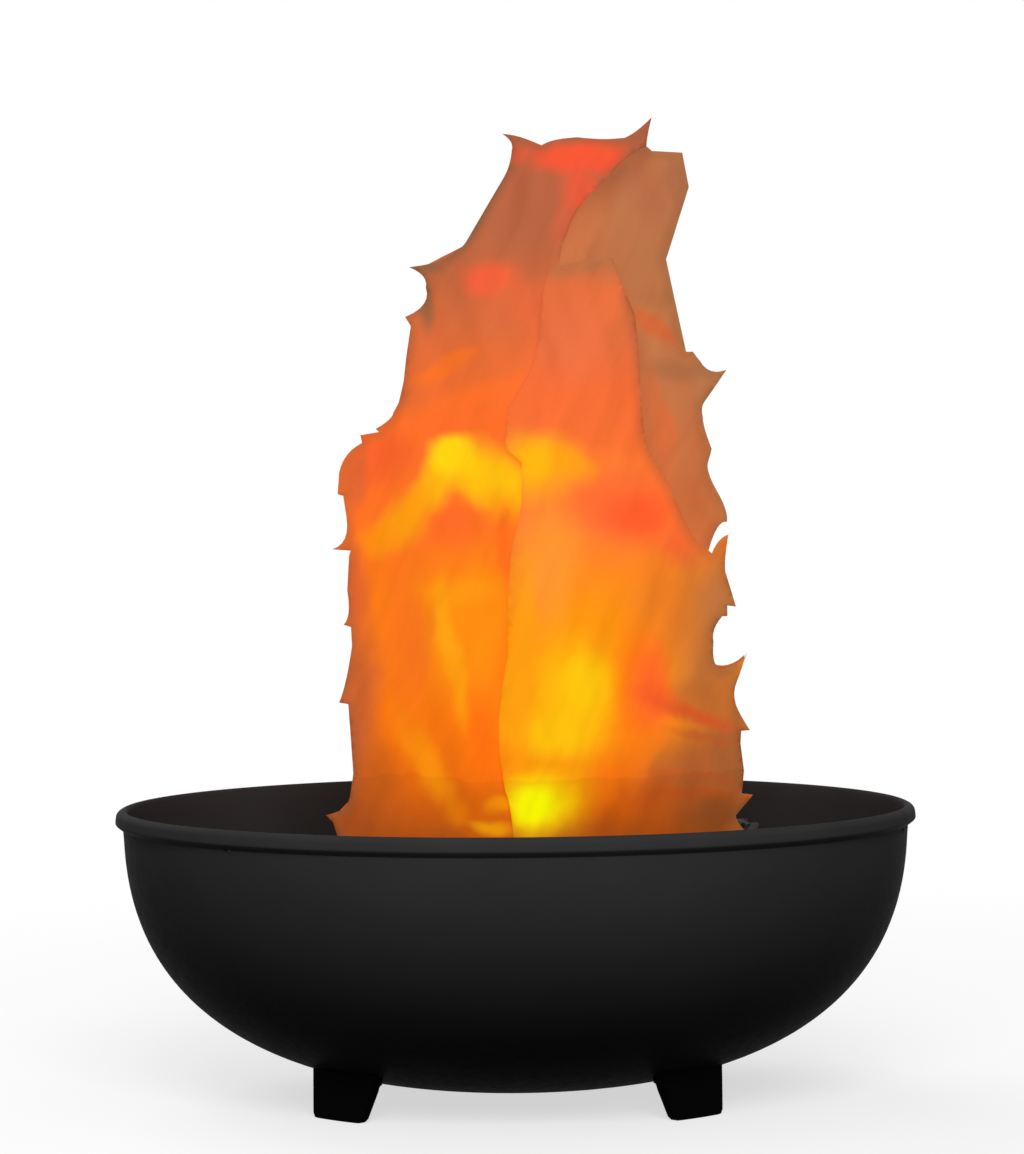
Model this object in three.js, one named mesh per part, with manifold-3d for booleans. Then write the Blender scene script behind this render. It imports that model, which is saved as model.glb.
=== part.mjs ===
// Silk flame effect light: a black bowl on four feet with a fan, three lamps and four silks,
// which the air blows up into a flame.
// Millimetres, +Z up. The origin is on the floor under the middle of the bowl; the front faces -Y.
import * as THREE from "three";
import { mergeVertices } from "three/addons/utils/BufferGeometryUtils.js";
import Module from "manifold-3d";

const wasm = await Module();
wasm.setup();

// Bowl
const rimDiameter = 300; // over the rolled bead
const beadDiameter = 3.8;
const beadStandOut = 3.4; // past the wall
const bowlDepth = 104.6; // rim to underside
const bowlLift = 4.5; // floor to underside
const bowlWall = 1.5;
const bowlFullness = 2.53; // exponent of the superellipse that the side follows
const ventInner = 14; // radii of the intake slots in the bottom
const ventOuter = 46;
const ventWidth = 5;
const hangHole = 3.5;
const hangDrop = 7.5; // rim to hanging hole
// Feet
const footRadius = 89; // middle of the foot plate from the bowl's axis, where it meets the bowl
const footSplay = 3; // farther out on the floor
const footWidth = 25.6; // along the floor
const footFlare = 4.4; // each end wider at the top
const footThick = 2.6;
const footFlange = 10; // how far the upper flange runs in under the bowl
const footTongue = 12; // width of the flange's inner end
const rivetDiameter = 3.6;
const rivetHead = 6.6;
const rivetHeadRise = 1.6;
const rivetHeadGap = 1; // from its flat face to the curved inner wall
// Deck, the round plate that carries the works
const deckTop = 78;
const deckThick = 1.5;
const deckMargin = 1.2; // to the bowl all round
const lugWidth = 13;
const lugReach = 12;
const lugThick = 3;
const deckHoleInset = 6; // screw centre from the deck's edge
// Screws
const screwDiameter = 3.6;
const screwHead = 6.4;
const screwHeadRise = 2.2;
const screwLength = 9;
// Fan
const fanSize = 92;
const fanThick = 25;
const fanBore = 88;
const fanCorner = 5;
const fanPitch = 82.5; // between neighbouring screw holes
const strutWidth = 5;
const strutThick = 3;
const fanFlange = 6; // thickness of the frame's two square flanges
const fanSkirt = 3; // how far the frame's round middle stands out past its flat sides
const hubDiameter = 40;
const hubWall = 2.2;
const rotorTopDrop = 4; // fan's top face to the rotor's
const hubHeight = 15;
const bladeChord = 15;
const bladeRise = 11;
const bladeThick = 1.6;
const bladeTipGap = 1.5;
const shaftDiameter = 3;
const bearingWall = 1.4;
const bearingLength = 11;
const tubeWall = 1.8; // of the tube that holds the bearing
const statorDiameter = 32;
const statorHeight = 8;
const statorSlot = 3.2;
// Guard over the fan
const guardThick = 1;
const guardBar = 2.4;
const guardOuter = 47; // radius
const guardEye = 9; // radius of the middle disc
const guardEar = 4.6; // radius round a screw
// Silk frame and clamps
const frameHalfWidth = 76;
const frameBulge = 46; // how far each long side bows out from the ends
const frameEnd = 3; // half the width of the pointed ends
const frameWall = 1.2;
const frameHeight = 10;
const tabWidth = 9;
const clampThick = 1;
const clampHeight = 7;
// Silks
const silkWidth = 160; // the flame's breadth, which the outlines are shares of
const silkRise = 285; // hem to highest tip
const silkThick = 0.8;
const silkHemRise = 2; // deck to hem
const layerGap = 4; // between two silks where they overlap above the frame
const hemZone = 9; // height that stays on the frame
const settleZone = 34; // height over which the silk leaves the frame's shape
const topHalfWidth = 26; // half the breadth that the flame narrows to
const topBulge = 5;
const leanLow = 12; // how far the flame leans to the right above the frame
const leanHigh = 16; // and further at its top
const bodyHalfWidth = 73;
const foldDepth = 2.4;
const foldPitch = 37;
const foldClimb = 190;
const rippleDepth = 1.5;
const ripplePitch = 61;
const rippleClimb = 83;
const silkCell = 11; // spacing of the points that carry the folds
const taperPower = 2.4; // how late the flame narrows
const leanPower = 5; // how late it leans further
const bulgePower = 1.6; // how late it flattens
const edgeFoldShare = 0.35; // of the folds' depth that is left at the flame's edges
// Lamps
const lampClear = 4; // frame's pointed end to the bracket's inner face, from the bowl's axis
const lampWidth = 20;
const lampWeb = 13.3; // upright part of the bracket
const lampRise = 22.6; // whole height
const lampLean = 6.8; // how far the sloping face runs out
const lampLip = 4.6; // top edge
const lampFlange = 16; // foot on the deck
const lampSheet = 1.5;
const boardThick = 1.2;
const boardMargin = 1.2;
const lensDiameter = 8;
const lensRise = 3.4;
// Power supply
const supplyLength = 72;
const supplyMargin = 8; // to the bowl at the case's lower edge
const supplyHeight = 32;
const supplyWall = 1.5;
const supplyGap = 5; // to the fan's corner
const supplyEar = 11;
const supplyPost = 4;
const supplyPostHeight = 5;
const circuitThick = 1.6;
const circuitMargin = 1.5;
const coilShare = 0.48; // of the case's breadth
const coilHeight = 17;
const capShare = 0.24; // of the case's breadth
const capHeight = 18;
const fuseDiameter = 5;
const fuseLength = 20;
const terminalLength = 30;
const terminalDepth = 15;
const terminalHeight = 13;
const terminalHole = 4;
const terminalRadius = 90; // from the bowl's axis
// Rear fittings
const fittingHeight = 46; // centre above the floor
const glandThread = 15.4; // diameters
const glandBore = 8.6;
const glandHex = 21;
const glandHexRise = 4.5;
const glandNeck = 13.4;
const glandNeckRise = 5;
const glandDome = 19;
const glandDomeRise = 9;
const glandInside = 11;
const nutRise = 4;
const nutGap = 2; // from a flat nut to the curved inner wall
const switchBezel = 23;
const switchBezelRise = 2;
const switchBarrel = 19.6;
const switchDepth = 13;
const switchNutMargin = 2; // past the bezel's edge
const rockerLength = 13.6;
const rockerWidth = 10.2;
const rockerRise = 2.2; // ends above the bezel at mid travel
const rockerDip = 1.4; // hollow in the middle
const rockerPivotDrop = 0.6; // below the bezel's face
// Clearances
const seatGap = 0.3; // between two pieces that touch
const hemGap = 0.6; // hem to the frame, whose flat faces it doesn't share
const runGap = 0.06; // shaft in its bearing, on the radius
const rotorGap = 1.2; // rotor to stator
const overrun = 2; // how far a cut goes past a face

// Angles in degrees from the front, to the right
const footAngles = [-45, 45, 135, -135];
const footNames = ["front_left", "front_right", "rear_right", "rear_left"];
const hangAngles = [-44, 76, 196];
const deckScrewAngles = [-50, 50, 130, -130];
const lampAngles = [100, 220, 340];
const glandAngle = 200;
const switchAngle = 180;
const quarterAngles = [0, 90, 180, 270]; // fan screws
const barAngles = [0, 90]; // bars right across the fan
const tabAngles = [0, 180];
const statorSlotAngles = [45, 135, 225, 315];
const rockerTilt = 12; // each way from the middle
const bladeCount = 7;
const guardRings = 3;
const ventCount = 8;
// Numbers of flat faces that stand for a round one
const bowlSides = 52;
const ringSides = 28;
const smallSides = 12;
const screwSides = 8;

// Places that follow from the sizes above
const wallRadius = rimDiameter / 2 - beadStandOut;
const rimHeight = bowlLift + bowlDepth;
const deckUnder = deckTop - deckThick;
const fanTop = deckUnder - seatGap;
const fanBottom = fanTop - fanThick;
const fanScrewRadius = fanPitch / Math.SQRT2;
const guardUnder = deckTop + seatGap;
const frameUnder = guardUnder + guardThick + seatGap;
const frameTop = frameUnder + frameHeight;
const hemHeight = deckTop + silkHemRise;

const degrees = (angle) => THREE.MathUtils.degToRad(angle);
const flame = new THREE.Group();

// Solids

function solidOf(geometry) {
  const bare = new THREE.BufferGeometry();
  bare.setAttribute("position", geometry.getAttribute("position"));
  bare.setIndex(geometry.getIndex());
  const merged = mergeVertices(bare);
  const corners = merged.getIndex().array;
  const triangles = [];
  for (let i = 0; i < corners.length; i += 3) {
    const [a, b, c] = corners.slice(i, i + 3);
    if (a !== b && b !== c && c !== a) triangles.push(a, b, c);
  }
  const make = () =>
    new wasm.Manifold(
      new wasm.Mesh({
        numProp: 3,
        vertProperties: merged.getAttribute("position").array,
        triVerts: new Uint32Array(triangles),
      }),
    );
  const solid = make();
  if (solid.volume() > 0) return solid;
  triangles.reverse(); // the faces pointed inwards
  return make();
}

function geometryOf(solid) {
  const mesh = solid.getMesh();
  const geometry = new THREE.BufferGeometry();
  geometry.setAttribute("position", new THREE.BufferAttribute(mesh.vertProperties, 3));
  geometry.setIndex(new THREE.BufferAttribute(mesh.triVerts, 1));
  return geometry;
}

function joined(solids) {
  return solids.reduce((all, next) => all.add(next));
}

function cut(solid, tools) {
  return tools.reduce((left, tool) => left.subtract(tool), solid);
}

// Turns a profile of [radius, height] pairs round the Z axis.
function turned(profile, sides, closed = false) {
  const points = profile.map(([radius, height]) => new THREE.Vector2(radius, height));
  if (closed) points.push(points[0].clone());
  return new THREE.LatheGeometry(points, sides).rotateX(Math.PI / 2);
}

function rod(radius, low, high, sides) {
  return turned([[0, low], [radius, low], [radius, high], [0, high]], sides);
}

function ring(inner, outer, low, high, sides) {
  return turned([[inner, low], [outer, low], [outer, high], [inner, high]], sides, true);
}

// A box from its lowest corner to its highest.
function block(low, high) {
  const size = high.map((value, axis) => value - low[axis]);
  const middle = high.map((value, axis) => (value + low[axis]) / 2);
  return new THREE.BoxGeometry(...size).translate(...middle);
}

// A flat outline of [x, y] points, raised from low to high.
function raised(outline, low, high) {
  const shape = new THREE.Shape(outline.map(([x, y]) => new THREE.Vector2(x, y)));
  const settings = { depth: high - low, bevelEnabled: false };
  return new THREE.ExtrudeGeometry(shape, settings).translate(0, 0, low);
}

// An outline of [y, z] points, spread along X on both sides of the middle.
function spread(outline, width) {
  return raised(outline, -width / 2, width / 2)
    .rotateZ(Math.PI / 2)
    .rotateY(Math.PI / 2);
}

const turnAbout = (geometry, angle) => geometry.clone().rotateZ(degrees(angle));

// Materials

const bowlBlack = new THREE.MeshStandardMaterial({ color: 0x141415, roughness: 0.5, metalness: 0.2 });
const deckBlack = new THREE.MeshStandardMaterial({ color: 0x1a1a1b, roughness: 0.6, metalness: 0.2 });
const plasticBlack = new THREE.MeshStandardMaterial({ color: 0x161617, roughness: 0.55, metalness: 0 });
const steel = new THREE.MeshStandardMaterial({ color: 0xb4b4b6, roughness: 0.35, metalness: 0.9 });
const sheetGrey = new THREE.MeshStandardMaterial({ color: 0x8d8a8c, roughness: 0.5, metalness: 0.7 });
const brass = new THREE.MeshStandardMaterial({ color: 0xb08d45, roughness: 0.4, metalness: 0.9 });
const circuitGreen = new THREE.MeshStandardMaterial({ color: 0x1f5a34, roughness: 0.6, metalness: 0 });
const lensClear = new THREE.MeshStandardMaterial({
  color: 0xfff2d0,
  roughness: 0.15,
  metalness: 0,
  emissive: 0xff9a30,
});
const rockerRed = new THREE.MeshStandardMaterial({ color: 0x9c1712, roughness: 0.35, metalness: 0 });
const silkOrange = new THREE.MeshStandardMaterial({
  color: 0xe8701a,
  roughness: 0.8,
  metalness: 0,
  emissive: 0x7a2c00,
});
const silkTan = new THREE.MeshStandardMaterial({ color: 0xb07044, roughness: 0.8, metalness: 0 });

function part(name, geometry, material, parent = flame) {
  const mesh = new THREE.Mesh(geometry, material);
  mesh.name = name;
  parent.add(mesh);
  return mesh;
}

// A holder turned to an angle round the bowl, in which the front is -Y.
function stationAt(angle) {
  const station = new THREE.Group();
  station.rotation.z = degrees(angle);
  flame.add(station);
  return station;
}

// Bowl

function bowlRadiusAt(height, inset) {
  const down = (rimHeight - height) / (bowlDepth - inset);
  return (wallRadius - inset) * (1 - down ** bowlFullness) ** (1 / bowlFullness);
}

function bowlHeightAt(radius, inset) {
  const out = radius / (wallRadius - inset);
  return rimHeight - (bowlDepth - inset) * (1 - out ** bowlFullness) ** (1 / bowlFullness);
}

// How far the wall leans out from upright, in radians.
function bowlLeanAt(height) {
  const step = bowlWall;
  const run = bowlRadiusAt(height + step, 0) - bowlRadiusAt(height - step, 0);
  return Math.atan2(run, 2 * step);
}

// A point of the side, from the bottom at turn 0 to the rim at turn 1.
function bowlPoint(turn, inset) {
  const angle = (turn * Math.PI) / 2;
  const radius = (wallRadius - inset) * Math.sin(angle) ** (2 / bowlFullness);
  const drop = (bowlDepth - inset) * Math.max(0, Math.cos(angle)) ** (2 / bowlFullness);
  return [radius, rimHeight - drop];
}

function bowlProfile() {
  const outerSteps = 10;
  const innerSteps = 9;
  const beadSteps = 6;
  const profile = [];
  for (let i = 0; i < outerSteps; i++) profile.push(bowlPoint(i / outerSteps, 0));
  const beadRadius = beadDiameter / 2;
  const beadCentre = rimDiameter / 2 - beadRadius;
  const first = Math.PI + Math.acos((beadCentre - wallRadius) / beadRadius);
  const last = 2 * Math.PI + (2 * Math.PI) / 3;
  for (let i = 0; i <= beadSteps; i++) {
    const angle = first + ((last - first) * i) / beadSteps;
    const height = rimHeight - beadRadius + beadRadius * Math.sin(angle);
    profile.push([beadCentre + beadRadius * Math.cos(angle), height]);
  }
  profile.push([wallRadius - bowlWall, rimHeight - beadRadius / 2]);
  for (let i = innerSteps - 1; i > 0; i--) profile.push(bowlPoint(i / innerSteps, bowlWall));
  profile.push([0, bowlLift + bowlWall]);
  return profile;
}

const deckRadius = bowlRadiusAt(deckUnder, bowlWall) - deckMargin;
const lampRadius = frameHalfWidth + lampClear;
const deckHoleRadius = deckRadius - deckHoleInset;
const lugTop = deckUnder - seatGap;
const lugUnder = lugTop - lugThick;
const rivetRadius = footRadius - footFlange / 2 - footThick;
const rivetHeight = bowlHeightAt(rivetRadius, 0);
const rivetLean = bowlLeanAt(rivetHeight);

// A pin across the wall, pointing out and down, at a height on the bowl's front.
function acrossWall(geometry, height) {
  const radius = bowlRadiusAt(height, 0);
  return geometry
    .rotateX(Math.PI / 2)
    .rotateX(bowlLeanAt(height))
    .translate(0, -radius, height);
}

function makeBowl() {
  const lugEnd = bowlRadiusAt(lugUnder, bowlWall) + bowlWall / 3;
  const lugLow = [-lugWidth / 2, -lugEnd, lugUnder];
  const lugHigh = [lugWidth / 2, -lugEnd + lugReach, lugTop];
  const lug = block(lugLow, lugHigh);
  const lugs = deckScrewAngles.map((angle) => solidOf(turnAbout(lug, angle)));
  const shell = joined([solidOf(turned(bowlProfile(), bowlSides)), ...lugs]);
  const tools = [];
  const lugHole = rod(screwDiameter / 2 + seatGap, lugUnder - overrun, lugTop + overrun, screwSides);
  lugHole.translate(0, -deckHoleRadius, 0);
  for (const angle of deckScrewAngles) tools.push(solidOf(turnAbout(lugHole, angle)));
  const slot = [];
  const slotSteps = 2;
  for (const [end, way] of [[ventOuter, 1], [ventInner, -1]]) {
    for (let i = 0; i <= slotSteps; i++) {
      const angle = way > 0 ? (Math.PI * i) / slotSteps : Math.PI + (Math.PI * i) / slotSteps;
      slot.push([(ventWidth / 2) * Math.cos(angle), end + (ventWidth / 2) * Math.sin(angle)]);
    }
  }
  const vent = raised(slot, bowlLift - overrun, bowlHeightAt(ventOuter + ventWidth, 0) + 2 * overrun);
  for (let i = 0; i < ventCount; i++) tools.push(solidOf(turnAbout(vent, (360 * i) / ventCount)));
  const wallHole = (diameter, sides) => rod(diameter / 2, -bowlWall - 2 * overrun, overrun, sides);
  const hang = acrossWall(wallHole(hangHole, smallSides), rimHeight - hangDrop);
  for (const angle of hangAngles) tools.push(solidOf(turnAbout(hang, angle)));
  const rivet = acrossWall(wallHole(rivetDiameter + 2 * seatGap, smallSides), rivetHeight);
  for (const angle of footAngles) tools.push(solidOf(turnAbout(rivet, angle)));
  const gland = acrossWall(wallHole(glandThread + 2 * seatGap, ringSides), fittingHeight);
  tools.push(solidOf(turnAbout(gland, glandAngle)));
  const rocker = acrossWall(wallHole(switchBarrel + 2 * seatGap, ringSides), fittingHeight);
  tools.push(solidOf(turnAbout(rocker, switchAngle)));
  return cut(shell, tools);
}

part("bowl", geometryOf(makeBowl()), bowlBlack);

// Feet

function makeFoot() {
  const outer = footRadius + footThick / 2;
  const inner = footRadius - footThick / 2;
  const flangeEnd = inner - footFlange;
  const steps = 3;
  const profile = [[inner + footSplay, 0], [outer + footSplay, 0]];
  const under = (radius) => bowlHeightAt(radius, 0) - seatGap / Math.sin(rivetLean);
  for (let i = 0; i <= steps; i++) {
    const radius = outer + ((flangeEnd - outer) * i) / steps;
    profile.push([radius, under(radius)]);
  }
  for (let i = steps; i > 0; i--) {
    const radius = inner - footThick / 2 + ((flangeEnd - inner + footThick / 2) * i) / steps;
    profile.push([radius, under(radius) - footThick]);
  }
  profile.push([inner, under(inner) - 2 * footThick]);
  const band = solidOf(turned(profile, bowlSides, true));
  const top = under(outer);
  const half = footWidth / 2;
  const round = footThick / 2;
  const front = [
    [-half + round, 0],
    [half - round, 0],
    [half, round],
    [half + footFlare, top + overrun],
    [-half - footFlare, top + overrun],
    [-half, round],
  ];
  const wide = half + 2 * footFlare;
  const shoulder = inner - footThick;
  const above = [
    [-wide, -outer - 2 * footSplay],
    [wide, -outer - 2 * footSplay],
    [wide, -shoulder],
    [half, -shoulder],
    [footTongue / 2, -flangeEnd],
    [-footTongue / 2, -flangeEnd],
    [-half, -shoulder],
    [-wide, -shoulder],
  ];
  const wedge = raised(front, 0, outer + 2 * footSplay).rotateX(Math.PI / 2);
  const tongue = raised(above, -overrun, top + footThick);
  const hole = acrossWall(rod(rivetDiameter / 2 + seatGap, -overrun, footThick * 3, smallSides), rivetHeight);
  return cut(band.intersect(solidOf(wedge)).intersect(solidOf(tongue)), [solidOf(hole)]);
}

function makeRivet() {
  const inside = bowlWall + rivetHeadGap;
  const outside = footThick + 3 * seatGap;
  const stem = rivetDiameter / 2;
  const head = rivetHead / 2;
  const profile = [
    [0, -inside - rivetHeadRise],
    [head * Math.SQRT1_2, -inside - rivetHeadRise],
    [head, -inside - rivetHeadRise / 2],
    [head, -inside],
    [stem, -inside],
    [stem, outside],
    [head * Math.SQRT1_2, outside],
    [head * Math.SQRT1_2, outside + rivetHeadRise / 2],
    [0, outside + rivetHeadRise / 2],
  ];
  return acrossWall(turned(profile, smallSides), rivetHeight);
}

const footGeometry = geometryOf(makeFoot());
const rivetGeometry = makeRivet();
footAngles.forEach((angle, i) => {
  const station = stationAt(angle);
  part("foot_" + footNames[i], footGeometry, bowlBlack, station);
  part("foot_rivet_" + footNames[i], rivetGeometry, steel, station);
});

// Screws

function makeScrew(length) {
  const head = screwHead / 2;
  const stem = screwDiameter / 2;
  return turned(
    [
      [0, -length],
      [stem, -length],
      [stem, 0],
      [head, 0],
      [head, screwHeadRise / 2],
      [head / Math.SQRT2, screwHeadRise],
      [0, screwHeadRise],
    ],
    screwSides,
  );
}

function placeScrew(name, geometry, angle, radius, height) {
  const station = stationAt(angle);
  part(name, geometry, steel, station).position.set(0, -radius, height);
}

const shortScrew = makeScrew(screwLength);
deckScrewAngles.forEach((angle, i) => {
  placeScrew("deck_screw_" + footNames[i], shortScrew, angle, deckHoleRadius, deckTop + seatGap);
});

// Deck

const lampScrewRadius = lampRadius + lampFlange - screwHead / 2 - seatGap;
const supplyRight = -(fanSize / Math.SQRT2 - fanCorner * (Math.SQRT2 - 1)) - supplyGap;
const supplyTop = deckUnder - seatGap;
const supplyUnder = supplyTop - supplyHeight;
const supplyReach = bowlRadiusAt(supplyUnder, bowlWall) - supplyMargin;
const supplyLeft = -Math.sqrt(supplyReach ** 2 - (supplyLength / 2) ** 2);
const supplyBreadth = supplyRight - supplyLeft;
const supplyMiddle = (supplyLeft + supplyRight) / 2;
const supplyScrewY = supplyLength / 2 + supplyEar / 2;

function makeDeck() {
  const clear = screwDiameter / 2 + seatGap;
  const plate = solidOf(rod(deckRadius, deckUnder, deckTop, bowlSides));
  const hole = rod(clear, deckUnder - overrun, deckTop + overrun, screwSides);
  const port = rod(fanBore / 2, deckUnder - overrun, deckTop + overrun, ringSides);
  const tools = [solidOf(port)];
  for (const angle of deckScrewAngles) {
    tools.push(solidOf(turnAbout(hole.clone().translate(0, -deckHoleRadius, 0), angle)));
  }
  for (const angle of lampAngles) {
    tools.push(solidOf(turnAbout(hole.clone().translate(0, -lampScrewRadius, 0), angle)));
  }
  for (const angle of quarterAngles) {
    tools.push(solidOf(turnAbout(hole.clone().translate(0, -fanScrewRadius, 0), angle)));
  }
  for (const side of [-1, 1]) {
    tools.push(solidOf(hole.clone().translate(supplyMiddle, side * supplyScrewY, 0)));
  }
  return cut(plate, tools);
}

part("deck_plate", geometryOf(makeDeck()), deckBlack);

// Fan

const rotorTop = fanTop - rotorTopDrop;
const rotorUnder = rotorTop - hubHeight;
const tubeBottom = fanBottom + strutThick;
const bearingOuter = shaftDiameter / 2 + runGap + bearingWall;
const tubeInner = bearingOuter + seatGap;
const tubeOuter = tubeInner + tubeWall;
const bearingLow = tubeBottom + seatGap;
const bearingHigh = bearingLow + bearingLength;
const shaftLow = bearingLow + seatGap;
const hubBoss = shaftDiameter / 2 + seatGap + tubeWall;

function makeFanFrame() {
  const half = fanSize / 2;
  const corner = new THREE.Shape();
  corner.moveTo(-half + fanCorner, -half);
  corner.lineTo(half - fanCorner, -half);
  corner.quadraticCurveTo(half, -half, half, -half + fanCorner);
  corner.lineTo(half, half - fanCorner);
  corner.quadraticCurveTo(half, half, half - fanCorner, half);
  corner.lineTo(-half + fanCorner, half);
  corner.quadraticCurveTo(-half, half, -half, half - fanCorner);
  corner.lineTo(-half, -half + fanCorner);
  corner.quadraticCurveTo(-half, -half, -half + fanCorner, -half);
  const settings = { depth: fanThick, bevelEnabled: false, curveSegments: 3 };
  const box = new THREE.ExtrudeGeometry(corner, settings).rotateZ(Math.PI / 4).translate(0, 0, fanBottom);
  const bore = rod(fanBore / 2, fanBottom - overrun, fanTop + overrun, ringSides);
  const waistLow = fanBottom + fanFlange;
  const waist = ring(fanSize / 2 + fanSkirt, fanSize, waistLow, fanTop - fanFlange, ringSides);
  const hole = rod(screwDiameter / 2 + seatGap, fanBottom - overrun, fanTop + overrun, screwSides);
  hole.translate(0, -fanScrewRadius, 0);
  const holes = quarterAngles.map((angle) => solidOf(turnAbout(hole, angle)));
  const shell = cut(solidOf(box), [solidOf(bore), solidOf(waist), ...holes]);
  const reach = fanBore / 2 + bowlWall / 2;
  const strut = block([-reach, -strutWidth / 2, fanBottom], [reach, strutWidth / 2, tubeBottom]);
  const cross = barAngles.map((angle) => solidOf(turnAbout(strut, angle)));
  const seat = solidOf(rod(hubDiameter / 2, fanBottom, tubeBottom, ringSides));
  const holder = solidOf(ring(tubeInner, tubeOuter, tubeBottom - strutThick / 2, bearingHigh, smallSides));
  return joined([shell, ...cross, seat, holder]);
}

function makeRotor() {
  const outer = hubDiameter / 2;
  const inner = outer - hubWall;
  const hub = turned(
    [
      [0, rotorTop],
      [outer - hubWall / 2, rotorTop],
      [outer, rotorTop - hubWall / 2],
      [outer, rotorUnder],
      [inner, rotorUnder],
      [inner, rotorTop - hubWall],
      [hubBoss, rotorTop - hubWall],
      [hubBoss, bearingHigh + rotorGap],
      [shaftDiameter / 2 + seatGap, bearingHigh + rotorGap],
      [shaftDiameter / 2 + seatGap, rotorTop - hubWall / 2],
      [0, rotorTop - hubWall / 2],
    ],
    ringSides,
  );
  const half = bladeChord / 2;
  const low = -bladeRise / 2;
  const high = bladeRise / 2;
  const blade = new THREE.Shape();
  blade.moveTo(-half, low);
  blade.quadraticCurveTo(0, -bladeThick, half, high);
  blade.lineTo(half - bladeThick, high);
  blade.quadraticCurveTo(-bladeThick, 0, -half, low + bladeThick);
  const tip = fanBore / 2 - bladeTipGap;
  const settings = { depth: fanBore / 2 - inner, bevelEnabled: false, curveSegments: 4 };
  const vane = new THREE.ExtrudeGeometry(blade, settings)
    .translate(0, 0, inner + hubWall / 2)
    .rotateX(Math.PI / 2)
    .translate(0, 0, (rotorTop + rotorUnder) / 2);
  const vanes = [];
  for (let i = 0; i < bladeCount; i++) vanes.push(solidOf(turnAbout(vane, (360 * i) / bladeCount)));
  const sweep = solidOf(rod(tip, rotorUnder - overrun, rotorTop + overrun, ringSides));
  return joined([solidOf(hub), joined(vanes).intersect(sweep)]);
}

function makeStator() {
  const low = tubeBottom + 2 * seatGap;
  const outer = statorDiameter / 2;
  const stack = solidOf(ring(tubeOuter + seatGap, outer, low, low + statorHeight, ringSides));
  const slotLow = [-statorSlot / 2, -outer - overrun, low - overrun];
  const slotHigh = [statorSlot / 2, -outer / 2, low + statorHeight + overrun];
  const slot = block(slotLow, slotHigh);
  return cut(stack, statorSlotAngles.map((angle) => solidOf(turnAbout(slot, angle))));
}

part("fan_frame", geometryOf(makeFanFrame()), plasticBlack);
part("fan_rotor", geometryOf(makeRotor()), plasticBlack);
part("fan_shaft", rod(shaftDiameter / 2, shaftLow, rotorTop - hubWall / 2 - seatGap, smallSides), steel);
const bearing = ring(shaftDiameter / 2 + runGap, bearingOuter, bearingLow, bearingHigh, smallSides);
part("fan_bearing", bearing, brass);
part("fan_stator", geometryOf(makeStator()), steel);

// Guard

function makeGuard() {
  const top = guardUnder + guardThick;
  const solids = [solidOf(rod(guardEye, guardUnder, top, ringSides))];
  const step = (guardOuter - guardEye) / guardRings;
  for (let i = 1; i <= guardRings; i++) {
    const outer = guardEye + step * i;
    solids.push(solidOf(ring(outer - guardBar, outer, guardUnder, top, ringSides)));
  }
  const bar = block([-fanScrewRadius, -guardBar / 2, guardUnder], [fanScrewRadius, guardBar / 2, top]);
  const ear = rod(guardEar, guardUnder, top, smallSides).translate(0, -fanScrewRadius, 0);
  const hole = rod(screwDiameter / 2 + seatGap, guardUnder - overrun, top + overrun, screwSides);
  hole.translate(0, -fanScrewRadius, 0);
  for (const angle of barAngles) solids.push(solidOf(turnAbout(bar, angle)));
  for (const angle of quarterAngles) solids.push(solidOf(turnAbout(ear, angle)));
  return cut(joined(solids), quarterAngles.map((angle) => solidOf(turnAbout(hole, angle))));
}

part("finger_guard", geometryOf(makeGuard()), deckBlack);

// Silk frame, a pointed oval on edge that the hems are clamped to

const smooth = THREE.MathUtils.smoothstep;

// Half depth of the frame's middle line at x.
function frameDepth(x) {
  const share = THREE.MathUtils.clamp(x / frameHalfWidth, -1, 1);
  return frameEnd + frameBulge * Math.cos((share * Math.PI) / 2);
}

// How much longer than its run in x the frame's line is at x.
function frameSlope(x) {
  const share = THREE.MathUtils.clamp(x / frameHalfWidth, -1, 1);
  const rise = ((frameBulge * Math.PI) / 2 / frameHalfWidth) * Math.sin((share * Math.PI) / 2);
  return Math.hypot(1, rise);
}

// Points along one long side, offset outwards, from -reach to +reach.
function frameLine(reach, offset, side) {
  const steps = 16;
  const points = [];
  for (let i = 0; i <= steps; i++) {
    const x = -reach + (2 * reach * i) / steps;
    points.push([x, side * (frameDepth(x) + offset * frameSlope(x))]);
  }
  return points;
}

function closedLine(offset) {
  const reach = frameHalfWidth;
  const front = frameLine(reach, offset, -1);
  const back = frameLine(reach, offset, 1).reverse();
  return [...front, [reach + offset, 0], ...back, [-reach - offset, 0]];
}

function makeSilkFrame() {
  const outer = solidOf(raised(closedLine(frameWall / 2), frameUnder, frameTop));
  const inner = raised(closedLine(-frameWall / 2), frameUnder - overrun, frameTop + overrun);
  const wall = cut(outer, [solidOf(inner)]);
  const end = frameHalfWidth - tabWidth;
  const tabTop = frameUnder + frameWall;
  const tabStart = [fanScrewRadius - tabWidth / 2, -tabWidth / 2, frameUnder];
  const tab = block(tabStart, [end, tabWidth / 2, tabTop]);
  const tip = block([end - frameWall, -frameEnd, frameUnder], [frameHalfWidth, frameEnd, tabTop]);
  const hole = rod(screwDiameter / 2 + seatGap, frameUnder - overrun, frameTop, screwSides);
  hole.translate(fanScrewRadius, 0, 0);
  const tabs = tabAngles.flatMap((angle) => [tab, tip].map((piece) => solidOf(turnAbout(piece, angle))));
  return cut(joined([wall, ...tabs]), tabAngles.map((angle) => solidOf(turnAbout(hole, angle))));
}

part("silk_frame", geometryOf(makeSilkFrame()), sheetGrey);

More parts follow.
